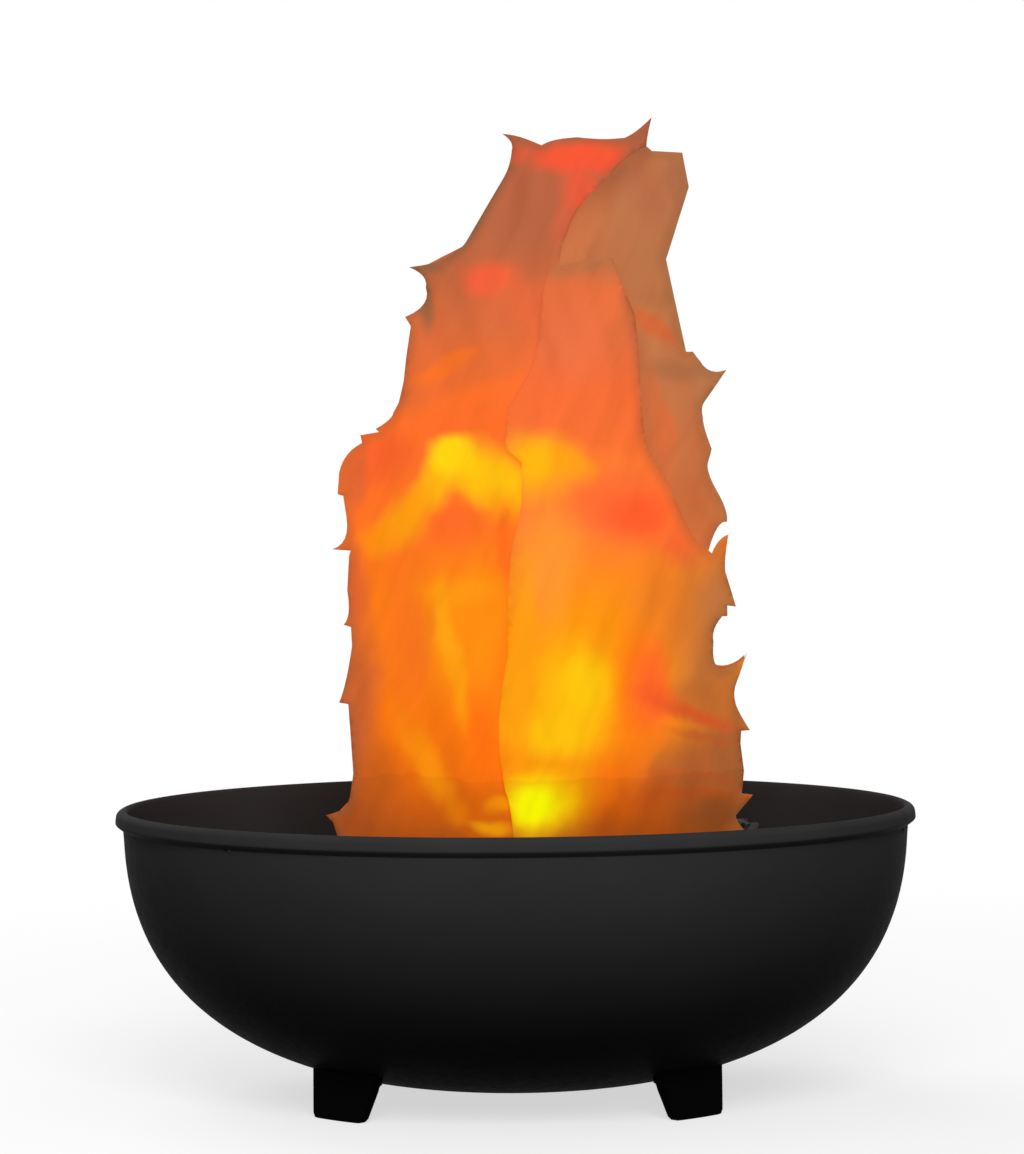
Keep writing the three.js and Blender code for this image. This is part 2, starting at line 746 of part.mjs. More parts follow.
const innerLayer = frameWall / 2 + hemGap + silkThick / 2;
const outerLayer = innerLayer + silkThick + seatGap;
const clampLayer = outerLayer + silkThick / 2 + hemGap + clampThick / 2;
const clampReach = frameHalfWidth - tabWidth;
const clampUnder = frameTop - clampHeight;
for (const [name, side] of [["silk_clamp_front", -1], ["silk_clamp_back", 1]]) {
  const outer = frameLine(clampReach, clampLayer + clampThick / 2, side);
  const inner = frameLine(clampReach, clampLayer - clampThick / 2, side).reverse();
  part(name, raised([...outer, ...inner], clampUnder, frameTop), sheetGrey);
}

const fanScrewNames = ["front", "right", "back", "left"];
const longScrew = makeScrew(fanThick / 2);
const plainHead = guardUnder + guardThick + seatGap;
const tabHead = frameUnder + frameWall + seatGap;
quarterAngles.forEach((angle, i) => {
  const height = i % 2 ? tabHead : plainHead;
  placeScrew("fan_screw_" + fanScrewNames[i], longScrew, angle, fanScrewRadius, height);
});

// Silks
// Each outline starts on the hem and runs on by straight lines, [end x, end z], and by curves,
// [bend x, bend z, end x, end z], in shares of the flame's width, from the bowl's axis, and of its
// rise above the hem.

const frontLeftShares = {
  start: [-0.459, 0],
  edge: [
    [-0.459, 0.028, -0.412, 0.062], [-0.425, 0.082], [-0.443, 0.091],
    [-0.391, 0.096, -0.385, 0.116], [-0.377, 0.146], [-0.383, 0.198], [-0.388, 0.237],
    [-0.409, 0.239], [-0.392, 0.261, -0.378, 0.313], [-0.38, 0.338], [-0.397, 0.341],
    [-0.378, 0.351, -0.388, 0.386], [-0.383, 0.431], [-0.379, 0.438], [-0.422, 0.44],
    [-0.379, 0.447, -0.388, 0.483], [-0.395, 0.51], [-0.408, 0.512], [-0.404, 0.54],
    [-0.394, 0.567, -0.35, 0.579], [-0.354, 0.589], [-0.31, 0.593], [-0.318, 0.597],
    [-0.276, 0.61, -0.276, 0.618], [-0.251, 0.641, -0.253, 0.649], [-0.245, 0.689], [-0.234, 0.731],
    [-0.247, 0.743], [-0.183, 0.758, -0.198, 0.781], [-0.192, 0.798, -0.237, 0.808],
    [-0.147, 0.814, -0.128, 0.827], [-0.108, 0.833, -0.097, 0.845], [-0.017, 0.921],
    [0.002, 0.938, 0.005, 0.958], [0.012, 0.971, -0.017, 0.981], [0.019, 0.98, 0.074, 0.964],
    [0.099, 0.972, 0.156, 0.974], [0.208, 0.97, 0.266, 0.973], [0.293, 0.979, 0.33, 1],
    [0.32, 0.98, 0.317, 0.962], [0.281, 0.957, 0.218, 0.917], [0.149, 0.887, 0.128, 0.844],
    [0.112, 0.834, 0.104, 0.762], [0.116, 0.697], [0.076, 0.632], [0.075, 0.573], [0.062, 0.504],
    [0.05, 0.427], [0.032, 0.312], [0.028, 0.197], [0.037, 0],
  ],
};
const frontRightShares = {
  start: [0.001, 0],
  edge: [
    [-0.006, 0.121, -0.022, 0.131], [-0.039, 0.183, -0.036, 0.213], [-0.037, 0.237, -0.014, 0.307],
    [-0.013, 0.362], [-0.009, 0.433, 0.001, 0.452], [0.022, 0.495, 0.021, 0.514], [0.022, 0.552],
    [-0.015, 0.57], [-0.018, 0.592, -0.01, 0.622], [0.026, 0.654], [0.049, 0.675, 0.055, 0.691],
    [0.069, 0.72, 0.071, 0.762], [0.082, 0.802, 0.106, 0.805], [0.171, 0.811, 0.236, 0.815],
    [0.259, 0.777], [0.284, 0.743], [0.293, 0.707, 0.298, 0.628], [0.298, 0.601, 0.314, 0.566],
    [0.333, 0.544, 0.363, 0.52], [0.4, 0.465, 0.419, 0.452], [0.461, 0.431],
    [0.476, 0.451, 0.501, 0.455], [0.489, 0.423, 0.492, 0.407], [0.503, 0.387, 0.517, 0.361],
    [0.496, 0.363], [0.496, 0.349], [0.484, 0.349], [0.456, 0.333, 0.462, 0.316],
    [0.458, 0.292, 0.468, 0.286], [0.474, 0.276, 0.504, 0.284], [0.532, 0.286, 0.543, 0.303],
    [0.526, 0.273, 0.517, 0.263], [0.5, 0.243, 0.527, 0.218], [0.548, 0.199], [0.527, 0.198],
    [0.525, 0.182], [0.533, 0.146], [0.528, 0.116], [0.554, 0.114], [0.533, 0.099, 0.522, 0.085],
    [0.519, 0.075, 0.528, 0.06], [0.475, 0.028, 0.466, 0],
  ],
};
const backRightShares = {
  start: [0.463, 0],
  edge: [
    [0.475, 0.04, 0.516, 0.084], [0.524, 0.113], [0.529, 0.144], [0.521, 0.177], [0.517, 0.215],
    [0.502, 0.239, 0.513, 0.26], [0.538, 0.273, 0.54, 0.295], [0.501, 0.275, 0.468, 0.283],
    [0.462, 0.312], [0.478, 0.344], [0.499, 0.352], [0.484, 0.389, 0.483, 0.405], [0.472, 0.42],
    [0.458, 0.431], [0.477, 0.474, 0.502, 0.471], [0.506, 0.486, 0.477, 0.513],
    [0.454, 0.538, 0.458, 0.548], [0.467, 0.567], [0.447, 0.596, 0.447, 0.609],
    [0.442, 0.623, 0.451, 0.629], [0.471, 0.644, 0.503, 0.671], [0.462, 0.662, 0.441, 0.683],
    [0.424, 0.695], [0.409, 0.695], [0.364, 0.817], [0.418, 0.911], [0.403, 0.956], [0.333, 0.959],
    [0.319, 0.966], [0.212, 0.962], [0.082, 0.852], [0.02, 0.661], [-0.023, 0.231], [-0.026, 0],
  ],
};
const backLeftShares = {
  start: [0.042, 0],
  edge: [
    [0.035, 0.229], [0.053, 0.5], [0.114, 0.607], [0.187, 0.727], [0.31, 0.938], [0.313, 0.964],
    [0.32, 0.986], [0.283, 0.976, 0.264, 0.973], [0.158, 0.974], [0.075, 0.965], [0.012, 0.972],
    [0.015, 0.956], [-0.012, 0.921], [-0.091, 0.843], [-0.194, 0.813], [-0.19, 0.782],
    [-0.199, 0.761], [-0.23, 0.745], [-0.228, 0.729], [-0.241, 0.688], [-0.275, 0.611],
    [-0.31, 0.588], [-0.388, 0.554], [-0.401, 0.535], [-0.401, 0.516], [-0.385, 0.497],
    [-0.383, 0.464], [-0.374, 0.435], [-0.38, 0.372], [-0.392, 0.343], [-0.374, 0.332],
    [-0.399, 0.242], [-0.382, 0.231], [-0.372, 0.14], [-0.378, 0.112], [-0.418, 0.09], [-0.405, 0],
  ],
};

// Half depth of the flame at a point, measured from the plane of its edges.
function flameDepth(x, height) {
  const rise = Math.max(0, height - hemHeight) / silkRise;
  const free = smooth(height - hemHeight, hemZone, hemZone + settleZone);
  const taper = bodyHalfWidth - (bodyHalfWidth - topHalfWidth) * rise ** taperPower;
  const breadth = THREE.MathUtils.lerp(frameHalfWidth, taper, free);
  const middle = free * leanLow + leanHigh * rise ** leanPower;
  const bulge = topBulge + (frameBulge - topBulge) * (1 - rise ** bulgePower);
  const share = THREE.MathUtils.clamp((x - middle) / breadth, -1, 1);
  const bow = THREE.MathUtils.lerp(frameBulge, bulge, free);
  const fold = foldDepth * Math.sin(2 * Math.PI * (x / foldPitch + height / foldClimb));
  const ripple = rippleDepth * Math.sin(2 * Math.PI * (x / ripplePitch - height / rippleClimb));
  const open = THREE.MathUtils.lerp(edgeFoldShare, 1, Math.cos((share * Math.PI) / 2));
  return frameEnd + bow * Math.cos((share * Math.PI) / 2) + free * open * (fold + ripple);
}

// Depth of a layer that lies off the flame's own surface by so much cloth and air.
function layerDepth(x, height, offset) {
  const step = silkThick / 2;
  const across = (flameDepth(x + step, height) - flameDepth(x - step, height)) / (2 * step);
  const along = (flameDepth(x, height + step) - flameDepth(x, height - step)) / (2 * step);
  return flameDepth(x, height) + offset * Math.hypot(1, across, along);
}

// A sheet of points over the whole flame, with two faces and a rim all round.
function makeSheet(side, layer) {
  const columns = Math.ceil((silkWidth + 4 * silkCell) / silkCell);
  const rows = Math.ceil((silkRise + silkCell) / silkCell);
  const left = -silkWidth / 2 - silkCell;
  const points = [];
  for (const face of [-1, 1]) {
    for (let row = 0; row <= rows; row++) {
      for (let column = 0; column <= columns; column++) {
        const x = left + column * silkCell;
        const height = hemHeight - silkCell / 2 + row * silkCell;
        const free = smooth(height - hemHeight, hemZone, hemZone + settleZone);
        const hemOffset = layer ? outerLayer : innerLayer;
        const offset = THREE.MathUtils.lerp(hemOffset, innerLayer + layer * layerGap, free);
        const depth = layerDepth(x, height, offset + (face * silkThick) / 2);
        points.push(x, side * depth, height);
      }
    }
  }
  const faces = [];
  const across = columns + 1;
  const other = across * (rows + 1);
  const quad = (a, b, c, d) => faces.push(a, b, c, a, c, d);
  for (let row = 0; row < rows; row++) {
    for (let column = 0; column < columns; column++) {
      const a = row * across + column;
      quad(a, a + 1, a + 1 + across, a + across);
      quad(other + a, other + a + across, other + a + 1 + across, other + a + 1);
    }
  }
  for (let column = 0; column < columns; column++) {
    const top = rows * across + column;
    quad(column, other + column, other + column + 1, column + 1);
    quad(top, top + 1, other + top + 1, other + top);
  }
  for (let row = 0; row < rows; row++) {
    const start = row * across;
    const end = start + columns;
    quad(start, start + across, other + start + across, other + start);
    quad(end, other + end, other + end + across, end + across);
  }
  const geometry = new THREE.BufferGeometry();
  geometry.setAttribute("position", new THREE.Float32BufferAttribute(points, 3));
  geometry.setIndex(faces);
  return solidOf(geometry);
}

function makeSilk(shares, side, layer) {
  const shape = new THREE.Shape();
  const at = (x, z) => [x * silkWidth, hemHeight + z * silkRise];
  shape.moveTo(...at(...shares.start));
  for (const step of shares.edge) {
    const [endX, endZ] = at(...step.slice(-2));
    if (step.length > 2) shape.quadraticCurveTo(...at(...step.slice(0, 2)), endX, endZ);
    else shape.lineTo(endX, endZ);
  }
  const depth = 2 * (frameBulge + frameEnd + layerGap);
  const settings = { depth: 2 * depth, bevelEnabled: false, curveSegments: 2 };
  const outline = new THREE.ExtrudeGeometry(shape, settings).rotateX(Math.PI / 2).translate(0, depth, 0);
  return geometryOf(makeSheet(side, layer).intersect(solidOf(outline)));
}

part("silk_front_left", makeSilk(frontLeftShares, -1, 0), silkOrange);
part("silk_front_right", makeSilk(frontRightShares, -1, 1), silkOrange);
part("silk_back_right", makeSilk(backRightShares, 1, 0), silkTan);
part("silk_back_left", makeSilk(backLeftShares, 1, 1), silkOrange);

// Lamps, each a folded bracket with a small board and a lens that look up at the silk

const lampUnder = deckTop + seatGap;
const lampTilt = Math.atan2(lampLean, lampRise - lampWeb);
const lampFace = Math.hypot(lampLean, lampRise - lampWeb);

function makeBracket() {
  const top = lampUnder + lampRise;
  const bend = lampUnder + lampWeb;
  const outside = (points) => points.map(([radius, height]) => [-radius, height]);
  const sheetRun = lampSheet / Math.cos(lampTilt);
  const web = outside([
    [lampRadius, lampUnder],
    [lampRadius + lampFlange, lampUnder],
    [lampRadius + lampFlange, lampUnder + lampSheet],
    [lampRadius + lampSheet, lampUnder + lampSheet],
    [lampRadius + lampSheet, bend - lampSheet / 2],
    [lampRadius + lampLean + sheetRun, top],
    [lampRadius + lampLean, top],
    [lampRadius, bend],
  ]);
  const cheek = outside([
    [lampRadius, lampUnder],
    [lampRadius + lampLean, lampUnder],
    [lampRadius + lampLean, bend - lampLip],
    [lampRadius + lampLean + lampLip, top],
    [lampRadius + lampLean, top],
    [lampRadius, bend],
  ]);
  const sides = [-1, 1].map((side) => {
    const place = (side * (lampWidth - lampSheet)) / 2;
    return solidOf(spread(cheek, lampSheet).translate(place, 0, 0));
  });
  const hole = rod(screwDiameter / 2 + seatGap, lampUnder - overrun, lampUnder + 2 * overrun, screwSides);
  hole.translate(0, -lampScrewRadius, 0);
  return cut(joined([solidOf(spread(web, lampWidth)), ...sides]), [solidOf(hole)]);
}

const bracketGeometry = geometryOf(makeBracket());
const boardLow = [-lampWidth / 2 + boardMargin, seatGap, boardMargin / 2];
const boardHigh = [lampWidth / 2 - boardMargin, seatGap + boardThick, lampFace - boardMargin / 2];
const boardGeometry = block(boardLow, boardHigh);
const lensBase = seatGap + boardThick + seatGap;
const lensGeometry = turned(
  [
    [0, lensBase],
    [lensDiameter / 2, lensBase],
    [lensDiameter / 2, lensBase + lensRise / 3],
    [lensDiameter / 3, lensBase + (lensRise * 4) / 5],
    [0, lensBase + lensRise],
  ],
  smallSides,
)
  .rotateX(-Math.PI / 2)
  .translate(0, 0, lampFace / 2);
lampAngles.forEach((angle, i) => {
  const number = String(i + 1);
  const station = stationAt(angle);
  part("lamp_bracket_" + number, bracketGeometry, sheetGrey, station);
  const face = new THREE.Group();
  face.position.set(0, -lampRadius, lampUnder + lampWeb);
  face.rotation.x = lampTilt;
  station.add(face);
  part("lamp_board_" + number, boardGeometry, circuitGreen, face);
  part("lamp_lens_" + number, lensGeometry, lensClear, face);
  placeScrew("lamp_screw_" + number, shortScrew, angle, lampScrewRadius, lampUnder + lampSheet + seatGap);
});

// Power supply under the deck

const circuitUnder = supplyUnder + supplyWall + supplyPostHeight + seatGap;
const circuitTop = circuitUnder + circuitThick;

function makeSupplyCase() {
  const half = supplyLength / 2;
  const box = solidOf(block([supplyLeft, -half, supplyUnder], [supplyRight, half, supplyTop]));
  const hollow = block(
    [supplyLeft + supplyWall, -half + supplyWall, supplyUnder + supplyWall],
    [supplyRight - supplyWall, half - supplyWall, supplyTop + overrun],
  );
  const earHalf = supplyEar / 2;
  const ears = [-1, 1].map((side) => {
    const ends = [side * (half - supplyWall / 2), side * (half + supplyEar)].sort((a, b) => a - b);
    const low = [supplyMiddle - earHalf, ends[0], supplyTop - supplyWall];
    return solidOf(block(low, [supplyMiddle + earHalf, ends[1], supplyTop]));
  });
  const posts = [];
  const postX = supplyBreadth / 2 - supplyWall - supplyPost;
  const postY = half - supplyWall - supplyPost;
  for (const x of [-postX, postX]) {
    for (const y of [-postY, postY]) {
      const post = rod(supplyPost / 2, supplyUnder + supplyWall / 2, circuitUnder - seatGap, screwSides);
      posts.push(solidOf(post.translate(supplyMiddle + x, y, 0)));
    }
  }
  const holes = [-1, 1].map((side) => {
    const hole = rod(screwDiameter / 2 + seatGap, supplyTop - 2 * overrun, supplyTop + overrun, screwSides);
    return solidOf(hole.translate(supplyMiddle, side * supplyScrewY, 0));
  });
  return cut(joined([cut(box, [solidOf(hollow)]), ...ears, ...posts]), holes);
}

function makeSupplyBoard() {
  const halfX = supplyBreadth / 2 - supplyWall - circuitMargin;
  const halfY = supplyLength / 2 - supplyWall - circuitMargin;
  const board = block(
    [supplyMiddle - halfX, -halfY, circuitUnder],
    [supplyMiddle + halfX, halfY, circuitTop],
  );
  const sunk = circuitThick / 2;
  const coilSize = supplyBreadth * coilShare;
  const capDiameter = supplyBreadth * capShare;
  const coil = block(
    [supplyMiddle - coilSize / 2, -coilSize / 2, circuitTop - sunk],
    [supplyMiddle + coilSize / 2, coilSize / 2, circuitTop + coilHeight],
  );
  const caps = [-1, 1].map((side) => {
    const cap = rod(capDiameter / 2, circuitTop - sunk, circuitTop + capHeight, smallSides);
    return solidOf(cap.translate(supplyMiddle + (side * capDiameter * 2) / 3, halfY - capDiameter, 0));
  });
  return joined([solidOf(board), solidOf(coil), ...caps]);
}

part("supply_case", geometryOf(makeSupplyCase()), sheetGrey);
part("supply_board", geometryOf(makeSupplyBoard()), circuitGreen);
const fuse = rod(fuseDiameter / 2, -fuseLength / 2, fuseLength / 2, smallSides).rotateX(Math.PI / 2);
const fuseY = -(supplyLength - fuseLength) / 2 + supplyWall + circuitMargin + seatGap;
const fuseHeight = circuitTop + seatGap + fuseDiameter / 2;
part("supply_fuse", fuse, lensClear).position.set(supplyMiddle, fuseY, fuseHeight);
const underScrew = makeScrew(deckThick + supplyWall + overrun).rotateX(Math.PI);
for (const [name, side] of [["supply_screw_front", -1], ["supply_screw_back", 1]]) {
  const screw = part(name, underScrew, steel);
  screw.position.set(supplyMiddle, side * supplyScrewY, supplyTop - supplyWall - seatGap);
}

function makeTerminalBlock() {
  const half = terminalLength / 2;
  const low = [-half, -terminalRadius, supplyTop - terminalHeight];
  const body = solidOf(block(low, [half, -terminalRadius + terminalDepth, supplyTop]));
  const ways = 3;
  const holes = [];
  for (let i = 0; i < ways; i++) {
    const x = -half + (terminalLength * (i + 1 / 2)) / ways;
    const hole = rod(terminalHole / 2, 0, terminalDepth / 2, smallSides).rotateX(Math.PI / 2);
    hole.translate(x, -terminalRadius + terminalHole, supplyTop - terminalHeight / 2);
    holes.push(solidOf(hole));
  }
  return geometryOf(cut(body, holes));
}

part("terminal_block", makeTerminalBlock(), plasticBlack, stationAt(glandAngle));

// Fittings in the rear wall, each made along -Y with the wall's outer face at zero

function fittingAt(angle) {
  const seat = new THREE.Group();
  seat.position.set(0, -bowlRadiusAt(fittingHeight, 0), fittingHeight);
  seat.rotation.x = bowlLeanAt(fittingHeight);
  stationAt(angle).add(seat);
  return seat;
}

const facing = (geometry) => geometry.rotateX(Math.PI / 2);
const nutTop = -bowlWall - nutGap;
const hexSides = 6;

function makeGlandBody() {
  const thread = ring(glandBore / 2, glandThread / 2, -glandInside, glandHexRise, ringSides / 2);
  const hexagon = ring(glandBore / 2, glandHex / 2, seatGap, seatGap + glandHexRise, hexSides);
  const neckTop = seatGap + glandHexRise + glandNeckRise;
  const neck = ring(glandBore / 2, glandNeck / 2, glandHexRise / 2, neckTop, ringSides / 2);
  const bore = rod(glandBore / 2, -glandInside - overrun, neckTop + overrun, ringSides / 2);
  return facing(geometryOf(cut(joined([thread, hexagon, neck].map(solidOf)), [solidOf(bore)])));
}

function makeGlandCap() {
  const low = glandHexRise + 2 * seatGap;
  const inside = glandNeck / 2 + seatGap;
  const dome = glandDome / 2;
  return facing(
    turned(
      [
        [inside, low],
        [dome, low],
        [dome, low + glandDomeRise / 2],
        [dome * Math.SQRT1_2, low + glandDomeRise],
        [glandBore / 2, low + glandDomeRise],
        [glandBore / 2, low + glandNeckRise + seatGap],
        [inside, low + glandNeckRise + seatGap],
      ],
      ringSides / 2,
      true,
    ),
  );
}

const glandSeat = fittingAt(glandAngle);
part("gland_body", makeGlandBody(), plasticBlack, glandSeat);
part("gland_cap", makeGlandCap(), plasticBlack, glandSeat);
const glandNut = ring(glandThread / 2 + seatGap, glandHex / 2, nutTop - nutRise, nutTop, hexSides * 2);
part("gland_nut", facing(glandNut), plasticBlack, glandSeat);

function makeSwitchHousing() {
  const barrel = rod(switchBarrel / 2, -switchDepth, seatGap + switchBezelRise / 2, ringSides);
  const bezel = rod(switchBezel / 2, seatGap, seatGap + switchBezelRise, ringSides);
  const halfWide = rockerWidth / 2 + seatGap;
  const halfLong = rockerLength / 2 + 2 * seatGap;
  const floor = -(rockerLength / 2);
  const pocket = block([-halfWide, -halfLong, floor], [halfWide, halfLong, switchBezelRise + overrun]);
  return facing(geometryOf(cut(joined([solidOf(barrel), solidOf(bezel)]), [solidOf(pocket)])));
}

function makeRocker() {
  const half = rockerLength / 2;
  const outline = [
    [-half, rockerRise],
    [0, rockerRise - rockerDip],
    [half, rockerRise],
    [half - rockerDip, -rockerDip],
    [0, -half / 2],
    [-half + rockerDip, -rockerDip],
  ];
  return spread(outline, rockerWidth);
}

const switchSeat = fittingAt(switchAngle);
part("switch_housing", makeSwitchHousing(), plasticBlack, switchSeat);
const pivot = new THREE.Group();
pivot.position.set(0, -(seatGap + switchBezelRise - rockerPivotDrop), 0);
pivot.rotation.x = Math.PI / 2 + degrees(rockerTilt);
switchSeat.add(pivot);
part("switch_rocker", makeRocker(), rockerRed, pivot);
const nutRadius = switchBezel / 2 + switchNutMargin;
const switchNut = ring(switchBarrel / 2 + seatGap, nutRadius, nutTop - nutRise, nutTop, ringSides / 2);
part("switch_nut", facing(switchNut), plasticBlack, switchSeat);

export default flame;
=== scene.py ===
# Silk flame effect light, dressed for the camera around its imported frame.
# Sizes in the dictionaries are millimetres, as in the part's source; Blender works in metres.
import bpy
import bmesh
import math
import numpy as np
from mathutils import Matrix, Vector
from mathutils.geometry import delaunay_2d_cdt


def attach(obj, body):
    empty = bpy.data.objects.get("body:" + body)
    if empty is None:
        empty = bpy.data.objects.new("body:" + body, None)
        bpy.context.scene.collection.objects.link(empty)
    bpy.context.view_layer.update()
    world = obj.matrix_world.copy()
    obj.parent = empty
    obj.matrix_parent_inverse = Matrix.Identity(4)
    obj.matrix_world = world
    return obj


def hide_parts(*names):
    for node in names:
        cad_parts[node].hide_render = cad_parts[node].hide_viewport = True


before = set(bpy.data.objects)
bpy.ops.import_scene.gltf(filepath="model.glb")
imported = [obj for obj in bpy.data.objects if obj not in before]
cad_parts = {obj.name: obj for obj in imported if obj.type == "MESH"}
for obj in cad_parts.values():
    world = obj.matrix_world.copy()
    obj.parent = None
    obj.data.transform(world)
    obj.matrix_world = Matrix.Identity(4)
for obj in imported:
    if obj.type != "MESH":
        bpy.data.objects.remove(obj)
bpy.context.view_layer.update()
mm = 0.001
tau = 2 * math.pi
scene = bpy.context.scene

print("stage 1: helpers")


def linear(red, green, blue):
    # a colour as it is seen on screen, 0 to 255, turned into the shader's own scale
    parts = []
    for value in (red, green, blue):
        share = value / 255
        parts.append(share / 12.92 if share < 0.04 else ((share + 0.055) / 1.055) ** 2.4)
    return (*parts, 1.0)


def mix(a, b, share):
    return a + (b - a) * share


def smooth(value, low, high):
    share = min(1.0, max(0.0, (value - low) / (high - low)))
    return share * share * (3 - 2 * share)


def turnZ(degrees):
    return Matrix.Rotation(math.radians(degrees), 4, "Z")


def turnX(radians):
    return Matrix.Rotation(radians, 4, "X")


def shift(x, y, z):
    return Matrix.Translation((x, y, z))


def evaluatedMesh(obj):
    bpy.context.view_layer.update()
    graph = bpy.context.evaluated_depsgraph_get()
    return bpy.data.meshes.new_from_object(obj.evaluated_get(graph))


def cleaned(mesh, sharpAngle=35):
    # shared points joined, faces pointing outwards, soft shading with crisp edges
    work = bmesh.new()
    work.from_mesh(mesh)
    bmesh.ops.remove_doubles(work, verts=work.verts, dist=1e-6)
    bmesh.ops.dissolve_degenerate(work, edges=work.edges, dist=1e-7)
    bmesh.ops.recalc_face_normals(work, faces=work.faces)
    work.to_mesh(mesh)
    work.free()
    mesh.polygons.foreach_set("use_smooth", [True] * len(mesh.polygons))
    mesh.set_sharp_from_angle(angle=math.radians(sharpAngle))
    mesh.update()
    return mesh


def meshOf(points, faces):
    # points in millimetres
    mesh = bpy.data.meshes.new("shape")
    mesh.from_pydata([tuple(c * mm for c in point) for point in points], [], faces)
    return mesh


def lathe(profile, sides, closed=False):
    # profile of (radius, height) in millimetres, turned about Z
    points = []
    faces = []
    rows = len(profile)
    for i in range(sides):
        angle = tau * i / sides
        points += [(r * math.cos(angle), r * math.sin(angle), h) for r, h in profile]
    last = rows if closed else rows - 1
    for i in range(sides):
        here = i * rows
        there = ((i + 1) % sides) * rows
        for j in range(last):
            k = (j + 1) % rows
            faces.append((here + j, there + j, there + k, here + k))
    return cleaned(meshOf(points, faces))


def roundedProfile(corners, radius, steps=4):
    # corners of a profile with each inner one softened; the two ends stay as they are
    out = [corners[0]]
    for before, here, after in zip(corners, corners[1:], corners[2:]):
        a = Vector(before) - Vector(here)
        b = Vector(after) - Vector(here)
        reach = min(radius, a.length / 2.2, b.length / 2.2)
        start = Vector(here) + a.normalized() * reach
        end = Vector(here) + b.normalized() * reach
        for i in range(steps + 1):
            share = i / steps
            one = start.lerp(Vector(here), share)
            two = Vector(here).lerp(end, share)
            out.append(tuple(one.lerp(two, share)))
    out.append(corners[-1])
    return out


def plate(loops, low, high, bevel):
    # flat plate with softened edges, cut by the inner loops
    curve = bpy.data.curves.new("outline", "CURVE")
    curve.dimensions = "2D"
    curve.fill_mode = "BOTH"
    curve.extrude = ((high - low) / 2 - bevel) * mm
    curve.bevel_depth = bevel * mm
    curve.bevel_resolution = 1
    curve.offset = -bevel * mm
    for loop in loops:
        spline = curve.splines.new("POLY")
        spline.points.add(len(loop) - 1)
        spline.use_cyclic_u = True
        for point, (x, y) in zip(spline.points, loop):
            point.co = (x * mm, y * mm, 0, 1)
    obj = bpy.data.objects.new("outline", curve)
    scene.collection.objects.link(obj)
    mesh = evaluatedMesh(obj)
    bpy.data.objects.remove(obj)
    mesh.transform(shift(0, 0, (low + high) / 2 * mm))
    return cleaned(mesh)


def circle(radius, x=0.0, y=0.0, sides=24):
    angles = [tau * i / sides for i in range(sides)]
    return [(x + radius * math.cos(a), y + radius * math.sin(a)) for a in angles]


def roundedBox(halfX, halfY, radius, x=0.0, y=0.0):
    points = []
    steps = 5
    for cx, cy, first in ((1, 1, 0), (-1, 1, 1), (-1, -1, 2), (1, -1, 3)):
        for i in range(steps + 1):
            angle = (first + i / steps) * math.pi / 2
            px = cx * (halfX - radius) + radius * math.cos(angle)
            py = cy * (halfY - radius) + radius * math.sin(angle)
            points.append((x + px, y + py))
    return points


def slotLoop(half, near, far, steps=8):
    # a slot along Y with round ends
    turns = [math.pi * i / steps for i in range(steps + 1)]
    away = [(half * math.cos(a), far + half * math.sin(a)) for a in turns]
    return away + [(-half * math.cos(a), near - half * math.sin(a)) for a in turns]


def dome(wide, rise, height, steps, power=1):
    # quarter arc of a profile, from its edge in to the axis
    turns = [i / steps * math.pi / 2 for i in range(steps + 1)]
    return [(wide * math.cos(a) ** power, height + rise * math.sin(a)) for a in turns]


def softLoop(corners, radius, steps=4):
    # a closed outline with every corner softened
    return roundedProfile(corners + corners[:2], radius, steps)[1:-1]


def rod(radius, low, high, sides=32):
    return lathe([(0, low), (radius, low), (radius, high), (0, high)], sides)


def ring(inner, outer, low, high, sides, soft):
    corners = [(inner, low), (outer, low), (outer, high), (inner, high)]
    return lathe(softLoop(corners, soft), sides, closed=True)


def placed(mesh, *matrices):
    # matrices in millimetres, the outermost first
    whole = Matrix.Identity(4)
    for matrix in matrices:
        whole = whole @ matrix
    whole.translation = whole.translation * mm
    copy = mesh.copy()
    copy.transform(whole)
    return copy


def together(meshes):
    work = bmesh.new()
    for mesh in meshes:
        work.from_mesh(mesh)
    out = bpy.data.meshes.new("shape")
    work.to_mesh(out)
    work.free()
    return out


def carved(mesh, cutters):
    body = bpy.data.objects.new("body", mesh)
    tool = bpy.data.objects.new("tool", together(cutters))
    for obj in (body, tool):
        scene.collection.objects.link(obj)
    cut = body.modifiers.new("cut", "BOOLEAN")
    cut.object = tool
    cut.solver = "EXACT"
    out = evaluatedMesh(body)
    for obj in (body, tool):
        bpy.data.objects.remove(obj)
    return cleaned(out)


def piece(name, mesh, finishName, body="base", stands=()):
    # a shown piece: it rides on its body, wears its finish and stands for its CAD nodes
    mesh.name = name
    mesh.materials.clear()
    mesh.materials.append(finishes[finishName])
    obj = bpy.data.objects.new(name, mesh)
    scene.collection.objects.link(obj)
    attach(obj, body)
    if stands:
        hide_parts(*stands)
    return obj


print("stage 2: camera, floor and light")
shot = {
    "place": (-0.53, -1800, 247.8),
    "down": 0.0297,  # radians
    "roll": 0.0086,
    "focal": 4811.7,  # in pixels of the 1024 x 1154 frame
    "longSide": 1154,
    "sensor": 36,
}


